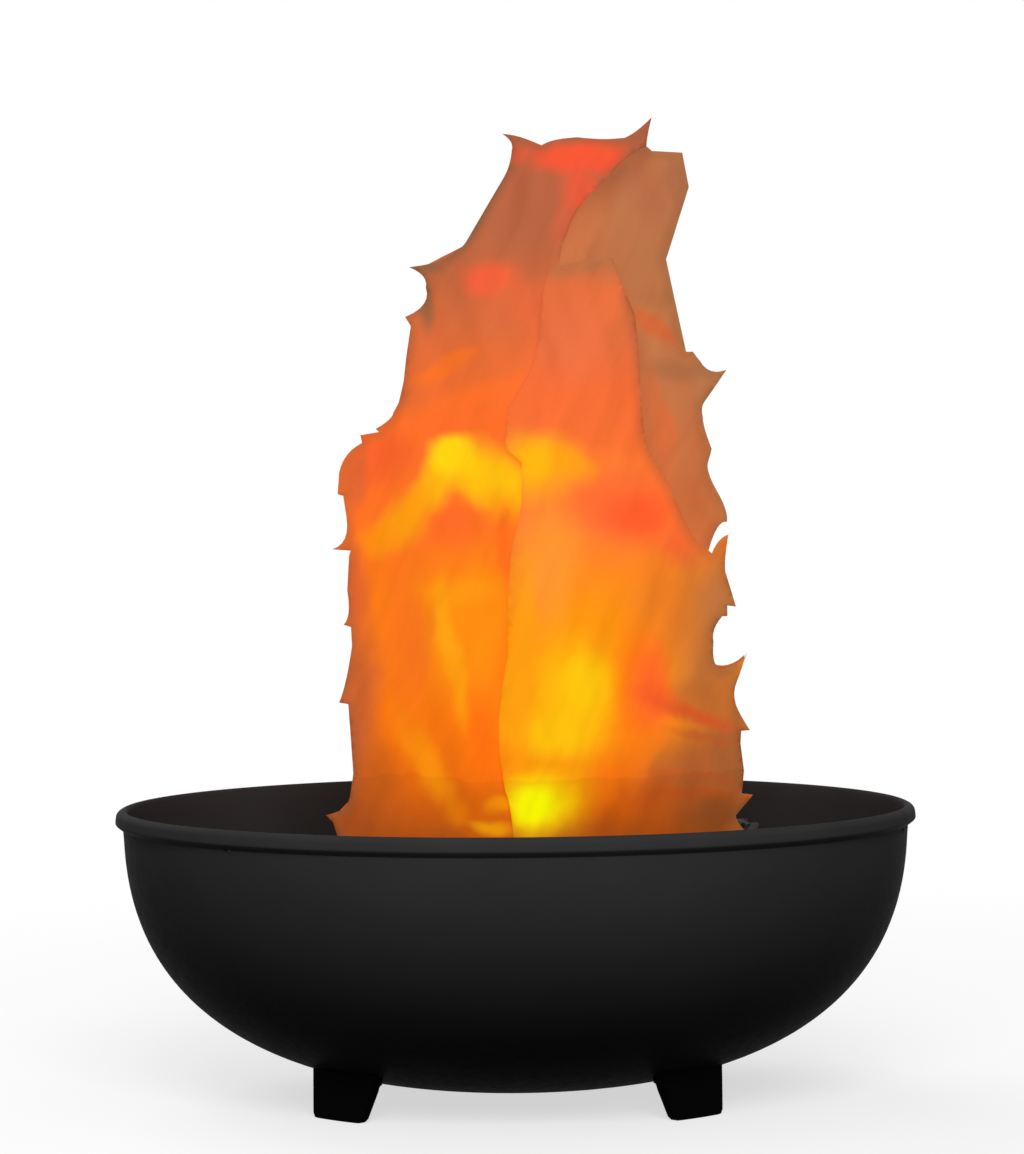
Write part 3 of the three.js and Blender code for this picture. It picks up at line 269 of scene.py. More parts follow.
def setCamera():
    camera = bpy.data.objects.new("camera", bpy.data.cameras.new("camera"))
    scene.collection.objects.link(camera)
    ahead = Vector((0, math.cos(shot["down"]), -math.sin(shot["down"])))
    up = Vector((0, math.sin(shot["down"]), math.cos(shot["down"])))
    right = Vector((1, 0, 0))
    c, s = math.cos(shot["roll"]), math.sin(shot["roll"])
    axes = Matrix((right * c - up * s, right * s + up * c, -ahead)).transposed().to_4x4()
    axes.translation = Vector(shot["place"]) * mm
    camera.matrix_world = axes
    camera.data.sensor_width = shot["sensor"]
    camera.data.lens = shot["focal"] * shot["sensor"] / shot["longSide"]
    camera.data.clip_start = 0.05
    camera.data.clip_end = 30
    scene.camera = camera


setCamera()
scene.view_settings.view_transform = "Standard"

studio = {
    "ambient": 0.3,  # light from all round
    "keyPower": 30,
    "keySize": 1.2,
    "keyPlace": (0.1, -2.0, 1.1),
    "fillPower": 13,
    "fillSize": 1.6,
    "fillPlace": (-0.9, 1.5, 1.5),
    "aim": (0, 0, 0.12),  # what both lamps point at
    "floorColour": linear(188, 188, 188),
    "floorLift": 0.63,  # what brings the floor up to white for the camera
    "floorBounce": linear(60, 60, 60),  # the floor as other things see it
    "floorRadius": 1.6,
    "fadeStart": 0.35,
    "fadeEnd": 0.9,
}


def newNode(tree, kind, *sources, **values):
    # sources go to the first sockets in turn, a value to the socket of its name;
    # a name in small letters is one of the node's own settings
    node = tree.nodes.new(kind)
    for name, value in values.items():
        if name[0].islower():
            setattr(node, name, value)
        elif isinstance(value, bpy.types.NodeSocket):
            tree.links.new(value, node.inputs[name.replace("_", " ")])
        else:
            node.inputs[name.replace("_", " ")].default_value = value
    for source, socket in zip(sources, node.inputs):
        tree.links.new(source, socket)
    return node


def areaLamp(name):
    data = bpy.data.lights.new(name, "AREA")
    data.energy = studio[name + "Power"]
    data.shape = "DISK"
    data.size = studio[name + "Size"]
    lamp = bpy.data.objects.new(name, data)
    lamp.location = studio[name + "Place"]
    aim = Vector(studio["aim"]) - lamp.location
    lamp.rotation_euler = aim.to_track_quat("-Z", "Y").to_euler()
    scene.collection.objects.link(lamp)


def seenDirectly(tree):
    # 1 where the camera, a mirror or glass looks, 0 for light that falls on things
    path = newNode(tree, "ShaderNodeLightPath").outputs
    seen = path["Is Camera Ray"]
    for way in ("Is Glossy Ray", "Is Transmission Ray"):
        seen = newNode(tree, "ShaderNodeMath", seen, path[way], operation="MAXIMUM").outputs[0]
    return seen


def setStudio():
    world = bpy.data.worlds.new("studio")
    world.use_nodes = True
    tree = world.node_tree
    tree.nodes.clear()
    plain = (1, 1, 1, 1)
    soft = newNode(tree, "ShaderNodeBackground", Color=plain, Strength=studio["ambient"])
    white = newNode(tree, "ShaderNodeBackground", Color=plain, Strength=1)
    both = newNode(tree, "ShaderNodeMixShader", seenDirectly(tree), soft.outputs[0], white.outputs[0])
    newNode(tree, "ShaderNodeOutputWorld", both.outputs[0])
    scene.world = world
    areaLamp("key")
    areaLamp("fill")


def setFloor():
    work = bmesh.new()
    bmesh.ops.create_circle(work, cap_ends=True, segments=96, radius=studio["floorRadius"])
    mesh = bpy.data.meshes.new("floor")
    work.to_mesh(mesh)
    work.free()
    floor = bpy.data.objects.new("floor", mesh)
    scene.collection.objects.link(floor)
    material = bpy.data.materials.new("floor_paper")
    material.use_nodes = True
    tree = material.node_tree
    tree.nodes.clear()
    seen = seenDirectly(tree)
    paper = newNode(tree, "ShaderNodeBsdfDiffuse", Color=studio["floorColour"])
    lift = newNode(tree, "ShaderNodeEmission", Strength=studio["floorLift"])
    lifted = newNode(tree, "ShaderNodeAddShader", paper.outputs[0], lift.outputs[0])
    bounce = newNode(tree, "ShaderNodeBsdfDiffuse", Color=studio["floorBounce"])
    near = newNode(tree, "ShaderNodeMixShader", seen, bounce.outputs[0], lifted.outputs[0])
    where = newNode(tree, "ShaderNodeTexCoord").outputs["Object"]
    length = newNode(tree, "ShaderNodeVectorMath", where, operation="LENGTH").outputs["Value"]
    fade = newNode(
        tree, "ShaderNodeMapRange", length, interpolation_type="SMOOTHSTEP",
        From_Min=studio["fadeStart"], From_Max=studio["fadeEnd"],
    )
    gate = newNode(tree, "ShaderNodeMath", fade.outputs[0], seen, operation="MULTIPLY")
    white = newNode(tree, "ShaderNodeEmission", Strength=1)
    shown = newNode(tree, "ShaderNodeMixShader", gate.outputs[0], near.outputs[0], white.outputs[0])
    newNode(tree, "ShaderNodeOutputMaterial", shown.outputs[0])
    mesh.materials.append(material)


setStudio()
setFloor()

print("stage 3: finishes")


def noiseOf(tree, place, size, detail):
    # size is the pattern's own size in millimetres
    return newNode(
        tree, "ShaderNodeTexNoise", place, Scale=1 / (size * mm), Detail=detail, Roughness=0.55,
    ).outputs["Fac"]


def rangeOf(tree, value, fromLow, fromHigh, toLow, toHigh, way="LINEAR"):
    return newNode(
        tree, "ShaderNodeMapRange", value, interpolation_type=way,
        From_Min=fromLow, From_Max=fromHigh, To_Min=toLow, To_Max=toHigh,
    ).outputs["Result"]


def colourMix(tree, share, a, b, way="MIX"):
    node = newNode(tree, "ShaderNodeMix", data_type="RGBA", blend_type=way)
    colours = [s for s in node.inputs if s.type == "RGBA"]
    factor = [s for s in node.inputs if s.name == "Factor" and s.type == "VALUE"]
    for socket, value in zip(factor + colours, (share, a, b)):
        if isinstance(value, bpy.types.NodeSocket):
            tree.links.new(value, socket)
        else:
            socket.default_value = value
    return [s for s in node.outputs if s.type == "RGBA"][0]


def newFinish(name):
    material = bpy.data.materials.new(name)
    material.use_nodes = True
    tree = material.node_tree
    place = newNode(tree, "ShaderNodeTexCoord").outputs["Object"]
    return material, tree, tree.nodes["Principled BSDF"].inputs, place


def hardFinish(name, facts):
    material, tree, shader, place = newFinish(name)
    patches = rangeOf(tree, noiseOf(tree, place, facts["patch"], 4), 0.3, 0.7, 0, 1)
    tone = colourMix(tree, patches, linear(*facts["colour"]), linear(*facts["other"]))
    # painted shade: the colour turns towards the under tone lower down the object
    if "under" in facts:
        height = newNode(tree, "ShaderNodeSeparateXYZ", place).outputs["Z"]
        down = rangeOf(tree, height, facts["underFrom"] * mm, facts["underTo"] * mm, 0, 1)
        tone = colourMix(tree, down, tone, linear(*facts["under"]))
    tree.links.new(tone, shader["Base Color"])
    spots = noiseOf(tree, place, facts["grain"] * 4, 2)
    smoothest, roughest = facts["rough"] - facts["roughSpread"], facts["rough"] + facts["roughSpread"]
    tree.links.new(rangeOf(tree, spots, 0.35, 0.65, smoothest, roughest), shader["Roughness"])
    shader["Metallic"].default_value = facts.get("metal", 0)
    shader["Specular IOR Level"].default_value = facts.get("shine", 0.5)
    if "glow" in facts:
        shader["Emission Color"].default_value = linear(*facts["glow"])
        shader["Emission Strength"].default_value = facts["glowStrength"]
    bump = newNode(
        tree, "ShaderNodeBump", Strength=facts["grainStrength"], Distance=facts["grain"] * 0.3 * mm,
        Height=noiseOf(tree, place, facts["grain"], 3),
    )
    tree.links.new(bump.outputs[0], shader["Normal"])
    return material


hardFacts = {
    "bowl_black": {  # satin powder coat, darker towards the foot of the bowl as painted shade
        "colour": (57, 57, 57), "other": (53, 53, 53), "patch": 40, "grain": 0.7,
        "grainStrength": 0.25, "rough": 0.55, "roughSpread": 0.05, "shine": 0.002,
        "under": (9, 9, 9), "underFrom": 104, "underTo": 16,
    },
    "deck_black": {
        "colour": (26, 26, 26), "other": (33, 33, 33), "patch": 25, "grain": 0.5,
        "grainStrength": 0.3, "rough": 0.6, "roughSpread": 0.06, "shine": 0.15,
    },
    "fan_plastic": {
        "colour": (24, 24, 25), "other": (30, 30, 31), "patch": 12, "grain": 0.35,
        "grainStrength": 0.2, "rough": 0.5, "roughSpread": 0.05, "shine": 0.45,
    },
    "fitting_plastic": {
        "colour": (22, 22, 23), "other": (28, 28, 29), "patch": 9, "grain": 0.3,
        "grainStrength": 0.25, "rough": 0.45, "roughSpread": 0.05, "shine": 0.5,
    },
    "bright_steel": {  # zinc-plated fasteners
        "colour": (178, 180, 184), "other": (150, 152, 158), "patch": 3, "grain": 0.25,
        "grainStrength": 0.12, "rough": 0.3, "roughSpread": 0.07, "metal": 1.0,
    },
    "sheet_grey": {  # galvanised sheet
        "colour": (120, 117, 118), "other": (96, 94, 96), "patch": 6, "grain": 0.5,
        "grainStrength": 0.1, "rough": 0.42, "roughSpread": 0.08, "metal": 0.85,
    },
    "lamp_grey": {  # sheet of the lamps, dark grey as painted shade
        "colour": (74, 71, 73), "other": (62, 60, 62), "patch": 7, "grain": 0.5,
        "grainStrength": 0.2, "rough": 0.6, "roughSpread": 0.06, "shine": 0.012,
    },
    "dark_steel": {  # screws of the lamps, dark steel as painted shade
        "colour": (58, 57, 58), "other": (44, 43, 44), "patch": 3, "grain": 0.25,
        "grainStrength": 0.15, "rough": 0.45, "roughSpread": 0.07, "metal": 0.4, "shine": 0.2,
    },
    "circuit_green": {
        "colour": (14, 40, 27), "other": (18, 50, 33), "patch": 4, "grain": 0.3,
        "grainStrength": 0.15, "rough": 0.5, "roughSpread": 0.05, "shine": 0.02,
    },
    "lens_clear": {  # lit from inside
        "colour": (255, 214, 120), "other": (255, 196, 84), "patch": 3, "grain": 0.4,
        "grainStrength": 0.05, "rough": 0.3, "roughSpread": 0.04, "shine": 0.2,
        "glow": (255, 176, 50), "glowStrength": 0.5,
    },
    "rocker_red": {
        "colour": (176, 24, 22), "other": (190, 34, 28), "patch": 5, "grain": 0.3,
        "grainStrength": 0.12, "rough": 0.34, "roughSpread": 0.04, "shine": 0.5,
    },
}
finishes = {name: hardFinish(name, facts) for name, facts in hardFacts.items()}

silk = {
    "width": 160, "rise": 285, "hem": 80, "thick": 0.3, "cell": 2.6, "rowShare": 0.87, "probe": 0.4,
    "layerGap": 4, "hemZone": 9, "settle": 34, "leanLow": 12, "leanHigh": 16, "leanPower": 5,
    "bodyHalf": 73, "topHalf": 26, "topBulge": 5, "taperPower": 2.4, "bulgePower": 1.6,
    "fold": 2.4, "foldPitch": 37, "foldClimb": 190, "ripple": 1.5, "ripplePitch": 61, "rippleClimb": 83,
    "edgeFold": 0.35, "crease": 0.7, "creasePitch": 13, "creaseClimb": 71, "creaseWander": 0.35,
    "openShare": 0.55, "openTop": 345,  # where a silk's edge has no other silk over it
    "flatWide": 1.22, "flatTall": 1.04,  # cut sizes over the ones that show, for the bulge and the folds
}
silkLook = {
    "pitch": 0.55, "strength": 0.12, "distance": 0.05,
    "wander": 6, "wanderSize": 34,  # how far the patches of light stray from smooth ovals
    "fineWander": 1.8, "fineWanderSize": 9,
    "glowFrom": 0.42, "glowTo": 0.98,  # red share from which the silk looks lit, and fully lit
    "glowLow": 0.44, "glowHigh": 0.78, "keptLow": 0.68, "keptHigh": 0.34,
    "band": 121.5, "shadeLineShare": 0.085,  # painted shade: the silk below this height is darker by this share, near the bowl
    "pleat": 5, "pleatLength": 60, "pleatTilt": 24, "pleatShadeShare": 0.05,
    "edgeWide": 5, "edgeShadeShare": 0.3, "edgeShadeTone": (128, 92, 62),
    "rough": 0.8, "shine": 0.04,
}


def movedBy(tree, flow, place, reach, size):
    # shifts a pattern's places by a soft noise of that reach and size
    noise = newNode(tree, "ShaderNodeTexNoise", place, Scale=1 / (size * mm), Detail=1.5).outputs["Color"]
    swing = newNode(tree, "ShaderNodeVectorMath", noise, operation="MULTIPLY_ADD")
    swing.inputs[1].default_value = (reach * 2 * mm,) * 3
    tree.links.new(flow, swing.inputs[2])
    centred = newNode(tree, "ShaderNodeVectorMath", swing.outputs[0], operation="SUBTRACT")
    centred.inputs[1].default_value = (reach * mm,) * 3
    return centred.outputs[0]


def stretched(tree, flow, tilt, size, place=(0, 0, 0)):
    # the places measured from a tilted box of that size round its own middle
    turn = (0, math.radians(tilt), 0)
    return newNode(
        tree, "ShaderNodeMapping", flow, vector_type="TEXTURE",
        Location=place, Rotation=turn, Scale=size,
    ).outputs[0]


def ovalShare(tree, flow, x, z, wide, tall, tilt, strength, edge):
    oval = stretched(tree, flow, tilt, (wide * mm, 10, tall * mm), (x * mm, 0, z * mm))
    ball = newNode(tree, "ShaderNodeTexGradient", oval, gradient_type="SPHERICAL").outputs["Fac"]
    return rangeOf(tree, ball, 0, mix(0.85, 0.12, edge), 0, strength, "SMOOTHSTEP")


def silkFinish(name, tones, glows):
    # tones: colours by height of the lamplight painted on the silk; each glow is a soft oval of painted light
    # or fold
    # shade: x, z, half width, half height, tilt in degrees, colour, strength, edge (0 soft, 1 crisp)
    material, tree, shader, place = newFinish(name)
    flow = movedBy(tree, place, place, silkLook["wander"], silkLook["wanderSize"])
    flow = movedBy(tree, flow, place, silkLook["fineWander"], silkLook["fineWanderSize"])
    height = newNode(tree, "ShaderNodeSeparateXYZ", flow).outputs["Z"]
    low, high = silk["hem"], silk["hem"] + silk["rise"]
    ramp = newNode(tree, "ShaderNodeValToRGB", rangeOf(tree, height, low * mm, high * mm, 0, 1))
    stops = ramp.color_ramp.elements
    while len(stops) < len(tones):
        stops.new(1.0)
    for stop, (level, tone) in zip(stops, tones):
        stop.position = (level - low) / (high - low)
        stop.color = linear(*tone)
    colour = ramp.outputs["Color"]
    for x, z, wide, tall, tilt, tone, strength, edge in glows:
        share = ovalShare(tree, flow, x, z, wide, tall, tilt, strength, edge)
        colour = colourMix(tree, share, colour, linear(*tone))
    # painted shade in the creases of the pleats
    pleat, length, dim = silkLook["pleat"] * mm, silkLook["pleatLength"] * mm, silkLook["pleatShadeShare"]
    along = stretched(tree, flow, silkLook["pleatTilt"], (pleat, length, length))
    pleats = newNode(tree, "ShaderNodeTexNoise", along, Scale=1.0, Detail=2.0).outputs["Fac"]
    pleatShaded = rangeOf(tree, pleats, 0.3, 0.7, 1 - dim, 1 + dim / 3)
    colour = colourMix(tree, 1.0, colour, pleatShaded, "MULTIPLY")
    # painted shade over the silk's lower part
    band = silkLook["band"] * mm
    shadedBelow = rangeOf(tree, height, band, band + mm, 1 - silkLook["shadeLineShare"], 1)
    colour = colourMix(tree, 1.0, colour, shadedBelow, "MULTIPLY")
    # painted shade: browner and darker along the silk's open edges
    rim = newNode(tree, "ShaderNodeAttribute", attribute_name="edgeDistance").outputs["Fac"]
    edgeShade = rangeOf(tree, rim, 0, silkLook["edgeWide"], silkLook["edgeShadeShare"], 0, "SMOOTHSTEP")
    colour = colourMix(tree, edgeShade, colour, linear(*silkLook["edgeShadeTone"]))
    # painted light: the silk is no lamp, yet it glows in the lamps' colour, more where it is redder, keeping
    # less lit base colour there
    red = newNode(tree, "ShaderNodeSeparateColor", colour).outputs[0]
    lit = silkLook["glowFrom"], silkLook["glowTo"]
    glow = rangeOf(tree, red, *lit, silkLook["glowLow"], silkLook["glowHigh"])
    kept = rangeOf(tree, red, *lit, silkLook["keptLow"], silkLook["keptHigh"])
    tree.links.new(colourMix(tree, 1.0, colour, kept, "MULTIPLY"), shader["Base Color"])
    tree.links.new(colour, shader["Emission Color"])
    tree.links.new(glow, shader["Emission Strength"])
    shader["Roughness"].default_value = silkLook["rough"]
    shader["Specular IOR Level"].default_value = silkLook["shine"]
    pitch = tau / 20 / (silkLook["pitch"] * mm)  # Blender's bands repeat 20 / tau times in a unit
    threads = [
        newNode(
            tree, "ShaderNodeTexWave", place, bands_direction=way, Scale=pitch, Distortion=0.6, Detail=1.0,
        ).outputs["Fac"] for way in ("X", "Z")
    ]
    weave = newNode(tree, "ShaderNodeMath", *threads).outputs[0]
    strength, deep = silkLook["strength"], silkLook["distance"] * mm
    bump = newNode(tree, "ShaderNodeBump", Strength=strength, Distance=deep, Height=weave)
    tree.links.new(bump.outputs[0], shader["Normal"])
    return material


# Painted lamplight and fold shade on the four silks, in millimetres on the object
frontLeftTones = [
    (99, (186, 86, 22)), (110, (214, 98, 18)), (121, (240, 112, 14)), (150, (253, 122, 15)),
    (187, (254, 126, 20)), (216, (254, 115, 34)), (253, (252, 110, 42)), (268, (238, 110, 50)),
    (286, (223, 109, 60)), (305, (200, 105, 64)), (327, (190, 103, 68)), (353, (192, 100, 66)),
]
frontLeftGlows = [
    (27, 350, 26.9, 9.8, 4, (246, 86, 52), 0.95, 0.3), (24, 337, 10.6, 14.7, 0, (236, 90, 58), 0.9, 0.2),
    (19, 324, 6.0, 15.7, 0, (214, 98, 66), 0.7, 0.1), (2, 353, 6.5, 6.1, 0, (226, 92, 62), 0.85, 0.2),
    (36, 336, 6.1, 31.7, 35, (190, 114, 72), 0.95, 0.2), (19, 311, 5.5, 13.9, 20, (196, 112, 70), 0.8, 0.1),
    (-14, 328, 5.1, 28.7, 34, (156, 101, 68), 0.8, 0.1), (-32, 310, 12.0, 5.1, 0, (152, 106, 70), 0.8, 0.1),
    (-33, 297, 5.1, 15.7, 0, (164, 104, 66), 0.8, 0.1), (-8, 306, 14.7, 9.8, 0, (243, 95, 58), 0.95, 0.2),
    (3, 297, 24.0, 14.8, 0, (230, 106, 60), 0.7, 0), (1, 329, 15.7, 22.2, 0, (184, 101, 68), 0.5, 0),
    (-25, 272, 21.3, 5.5, -27, (250, 114, 36), 0.85, 0.1),
    (-15, 261, 27.8, 6.9, -18, (254, 112, 40), 0.8, 0.1), (-36, 261, 10.2, 10.2, 0, (228, 108, 52), 0.6, 0),
    (-48, 239, 17.6, 14.8, 0, (247, 99, 42), 0.9, 0.1), (-58, 232, 6.5, 15.7, 0, (214, 100, 54), 0.7, 0.1),
    (-10, 233, 26.8, 13.9, 18, (255, 188, 14), 0.95, 0.05),
    (-5, 229, 15.7, 10.2, 10, (255, 192, 14), 0.85, 0.1),
    (-28, 230, 9.2, 21.3, 30, (255, 182, 13), 0.95, 0.05),
    (-39, 216, 10.2, 21.3, 42, (255, 158, 14), 0.95, 0.05),
    (-23, 239, 12.0, 10.2, 0, (255, 216, 14), 0.95, 0.1),
    (-19, 238, 15.7, 6.5, 24, (255, 206, 14), 0.8, 0.05), (-3, 222, 12.0, 9.2, 0, (255, 150, 18), 0.7, 0),
    (-22, 217, 15.7, 11.1, -20, (252, 104, 38), 0.75, 0.05),
    (-48, 210, 12.0, 9.2, -20, (255, 146, 16), 0.7, 0), (-3, 206, 3.7, 21.2, 0, (250, 108, 28), 0.8, 0.2),
    (-21, 175, 23.1, 36.1, 0, (254, 144, 14), 0.9, 0.1), (-11, 187, 11.1, 27.8, 0, (254, 142, 15), 0.7, 0),
    (-19, 190, 23.1, 8.3, 0, (255, 152, 18), 0.7, 0), (-24, 175, 6.0, 27.8, -7, (255, 166, 18), 0.8, 0),
    (-21, 154, 5.5, 21.3, -9, (255, 158, 16), 0.75, 0), (-31, 125, 8.3, 29.6, -27, (254, 148, 12), 0.8, 0),
    (-22, 108, 8.3, 6.5, -30, (246, 140, 8), 0.6, 0), (-12, 137, 11.1, 25.9, 0, (254, 112, 14), 0.85, 0.1),
    (-38, 153, 10.2, 27.8, -8, (254, 128, 14), 0.6, 0),
    (-61, 145, 17, 52, 0, (212, 102, 50), 0.95, 0.1),
    (-61, 190, 11, 30.5, 0, (226, 101, 46), 0.85, 0.1), (-64, 106, 25.9, 16.6, 0, (178, 82, 30), 0.85, 0.1),
    (-49, 118, 13.9, 21.3, 0, (196, 92, 30), 0.6, 0), (-12, 108, 22.0, 13.0, 0, (232, 108, 6), 0.6, 0),
    (-4, 113, 9.0, 5.0, 0, (252, 156, 6), 0.7, 0), (-9, 104.5, 12, 4, 4, (250, 166, 4), 0.8, 0),
    (-39, 172, 13.9, 41.6, -4, (251, 112, 34), 0.6, 0),
    (-5, 151, 4.6, 27.8, 0, (253, 128, 14), 0.6, 0.1),
]
frontRightTones = [
    (98, (180, 86, 28)), (112, (224, 100, 12)), (123, (242, 122, 14)), (150, (254, 148, 14)),
    (180, (253, 148, 14)), (198, (254, 134, 32)), (216, (254, 119, 52)), (242, (247, 113, 50)),
    (264, (245, 109, 54)), (282, (231, 111, 64)), (301, (230, 111, 62)), (310, (200, 113, 70)),
]
frontRightGlows = [
    (27, 311, 22.2, 6.9, -3, (192, 114, 70), 0.9, 0.1), (22, 285, 15.7, 23.1, 0, (236, 114, 70), 0.6, 0),
    (42, 293, 5.5, 16.6, 24, (214, 111, 58), 0.6, 0.1), (12, 202, 18.5, 38.8, 0, (254, 150, 48), 0.9, 0),
    (10, 236, 25.0, 15.7, 0, (255, 172, 16), 0.95, 0), (9, 238, 14.8, 8.3, 0, (255, 184, 14), 0.8, 0),
    (23, 237, 13.9, 8.3, 14, (255, 160, 18), 0.7, 0), (37, 239, 20.4, 5.5, 16, (254, 122, 48), 0.7, 0),
    (59, 223, 29.6, 6.5, 46, (251, 112, 46), 0.7, 0), (43, 219, 26.8, 16.6, 14, (255, 96, 46), 0.9, 0),
    (47, 220, 14.8, 10.2, 0, (255, 90, 42), 0.8, 0), (63, 206, 13.9, 11.1, 30, (252, 100, 48), 0.8, 0),
    (72, 171, 20.4, 50.9, -4, (202, 116, 56), 0.9, 0.1), (77, 185, 11.1, 23.1, 0, (198, 120, 68), 0.8, 0.1),
    (75, 163, 9.2, 18.5, 0, (192, 112, 54), 0.6, 0.1), (54, 179, 15.7, 37.0, 0, (236, 120, 38), 0.7, 0),
    (66, 123, 30.5, 25.0, 0, (188, 101, 50), 0.9, 0.05), (82, 130, 13.9, 27.8, 0, (176, 101, 56), 0.8, 0.1),
    (69, 149, 20.4, 10.2, 12, (196, 104, 50), 0.6, 0.1), (15, 150, 34.2, 37.0, 0, (254, 166, 14), 0.95, 0),
    (23, 151, 19.4, 29.6, 0, (255, 190, 11), 0.95, 0.05), (14, 139, 20.4, 12.0, 0, (255, 196, 11), 0.85, 0),
    (26, 156, 11.1, 15.7, 0, (255, 200, 12), 0.85, 0.05),
    (45, 154, 12.2, 34.2, 0, (253, 122, 18), 0.95, 0.2), (38, 123, 13.9, 15.7, 20, (246, 114, 16), 0.7, 0),
    (50, 154, 12.0, 24.0, 0, (252, 100, 40), 0.85, 0), (4, 173, 6.5, 41.6, 0, (255, 160, 16), 0.7, 0),
    (2, 144, 7.4, 23.1, 0, (254, 154, 14), 0.6, 0), (53, 150, 15.7, 8.3, 24, (244, 94, 38), 0.85, 0),
    (68, 143, 25.0, 4.2, 22, (222, 88, 40), 0.85, 0), (71, 135, 23.1, 2.8, 16, (200, 94, 46), 0.6, 0),
    (65, 121, 27.8, 3.2, 10, (204, 92, 42), 0.5, 0), (65, 114, 23.1, 3.7, 8, (206, 88, 36), 0.6, 0),
    (50, 115, 16.6, 12.0, 0, (206, 88, 26), 0.6, 0), (76, 105, 23.1, 11.1, 0, (160, 88, 42), 0.8, 0.1),
    (9, 114, 26.8, 21.3, 0, (255, 180, 6), 0.9, 0), (8, 113, 16.6, 15.7, 0, (255, 226, 6), 0.95, 0.1),
    (7, 112, 11.0, 10.2, 0, (255, 252, 2), 1, 0.3),
]
backRightTones = [
    (92, (156, 90, 44)), (169, (202, 110, 48)), (222, (196, 122, 72)), (260, (190, 124, 78)),
    (298, (186, 124, 78)), (350, (192, 119, 77)),
]
backRightGlows = [
    (24, 323, 12.0, 32.4, 30, (216, 134, 86), 0.9, 0), (54, 286, 18.5, 6.0, 32, (207, 106, 56), 0.85, 0.1),
    (62, 270, 16.6, 6.0, 0, (170, 115, 76), 0.8, 0.1), (53, 298, 12.0, 6.5, 10, (178, 118, 72), 0.7, 0.1),
    (56, 248, 6.9, 27.8, -10, (212, 112, 60), 0.7, 0.05), (71, 245, 12.0, 18.5, 0, (190, 116, 68), 0.6, 0),
    (67, 222, 13.9, 18.5, 30, (184, 111, 64), 0.7, 0), (54, 339, 13.9, 18.5, 0, (184, 112, 72), 0.5, 0),
    (61, 344, 4.6, 13.9, -8, (172, 110, 74), 0.6, 0.1), (18, 176, 27.8, 60.1, 0, (250, 140, 16), 0.9, 0.05),
    (14, 230, 23.1, 18.5, 0, (255, 160, 16), 0.8, 0.1), (10, 130, 23.1, 27.8, 0, (255, 180, 12), 0.85, 0.1),
]
backLeftTones = [
    (91, (186, 86, 24)), (115, (236, 110, 16)), (185, (254, 126, 20)), (246, (252, 110, 42)),
    (283, (223, 109, 60)), (325, (196, 103, 66)), (355, (206, 96, 62)),
]
backLeftGlows = [
    (28, 351, 24.4, 11.4, 4, (244, 88, 54), 0.9, 0.3), (24, 336, 9.8, 16.3, 0, (232, 92, 58), 0.8, 0.2),
    (-22, 177, 23.1, 46.2, 0, (254, 146, 14), 0.9, 0.05),
    (-16, 234, 23.1, 12.0, 12, (255, 190, 14), 0.9, 0.1),
    (-35, 216, 12.0, 20.4, 30, (255, 164, 14), 0.85, 0.1),
    (-6, 130, 18.5, 27.8, 0, (255, 170, 12), 0.8, 0.05), (6, 104, 13.8, 11.4, 0, (255, 220, 6), 0.9, 0.2),
    (-58, 152, 11.1, 50.9, 0, (204, 104, 52), 0.8, 0.1),
    (-12, 302, 27.8, 15.7, -20, (236, 100, 58), 0.8, 0.1), (3, 268, 18.5, 27.8, 10, (240, 110, 52), 0.6, 0),
    (-42, 238, 15.7, 13.9, 0, (246, 100, 44), 0.8, 0.1), (19, 298, 13.9, 27.8, 20, (214, 108, 64), 0.6, 0),
]
silkFacts = {
    "silk_front_left": (frontLeftTones, frontLeftGlows),
    "silk_front_right": (frontRightTones, frontRightGlows),
    "silk_back_left": (backLeftTones, backLeftGlows),
    "silk_back_right": (backRightTones, backRightGlows),
}
for name, facts in silkFacts.items():
    finishes[name] = silkFinish(name, *facts)

print("stage 4: frame nodes that stay, in better finishes")
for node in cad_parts.values():
    for slot in node.material_slots:
        name = slot.material.name.split(".")[0]
        if name in hardFacts:
            slot.material = finishes[name]

print("stage 5: bowl")
bowl = {
    "rim": 300, "beadOut": 3.4, "lipDrop": 7.8, "lipSoft": 0.7, "depth": 104.6, "lift": 4.5, "wall": 1.5,
    "fullness": 2.53, "sides": 192, "rows": 56, "cut": 6,  # cut: how far a cutter reaches past the wall
    "hangHole": 3.5, "hangDrop": 7.5, "hangAngles": (-44, 76, 196), "hangCut": 0.5,
    "ventInner": 14, "ventOuter": 46, "ventWidth": 5, "vents": 8, "ventCut": 16,
    "glandHole": 16.0, "switchHole": 20.2, "fittingHeight": 46, "glandAngle": 200, "switchAngle": 180,
    "rivetHole": 4.2, "rivetRadius": 81.4,
    "footAngles": {"front_left": -45, "front_right": 45, "rear_right": 135, "rear_left": -135},
    "lugAngles": {"front_left": -50, "front_right": 50, "rear_right": 130, "rear_left": -130},
    "lugWidth": 13, "lugReach": 12, "lugThick": 3, "lugTop": 76.2, "lugHole": 4.2, "lugSink": 0.3,
    "lugCorner": 1.6,
}
wallRadius = bowl["rim"] / 2 - bowl["beadOut"]
rimHeight = bowl["lift"] + bowl["depth"]


def bowlRadiusAt(height, inset=0.0):
    down = min(1.0, (rimHeight - height) / (bowl["depth"] - inset))
    return (wallRadius - inset) * (1 - down ** bowl["fullness"]) ** (1 / bowl["fullness"])


def bowlHeightAt(radius, inset=0.0):
    out = min(1.0, radius / (wallRadius - inset))
    return rimHeight - (bowl["depth"] - inset) * (1 - out ** bowl["fullness"]) ** (1 / bowl["fullness"])


def bowlLeanAt(height):
    step = bowl["wall"]
    return math.atan2(bowlRadiusAt(height + step) - bowlRadiusAt(height - step), 2 * step)


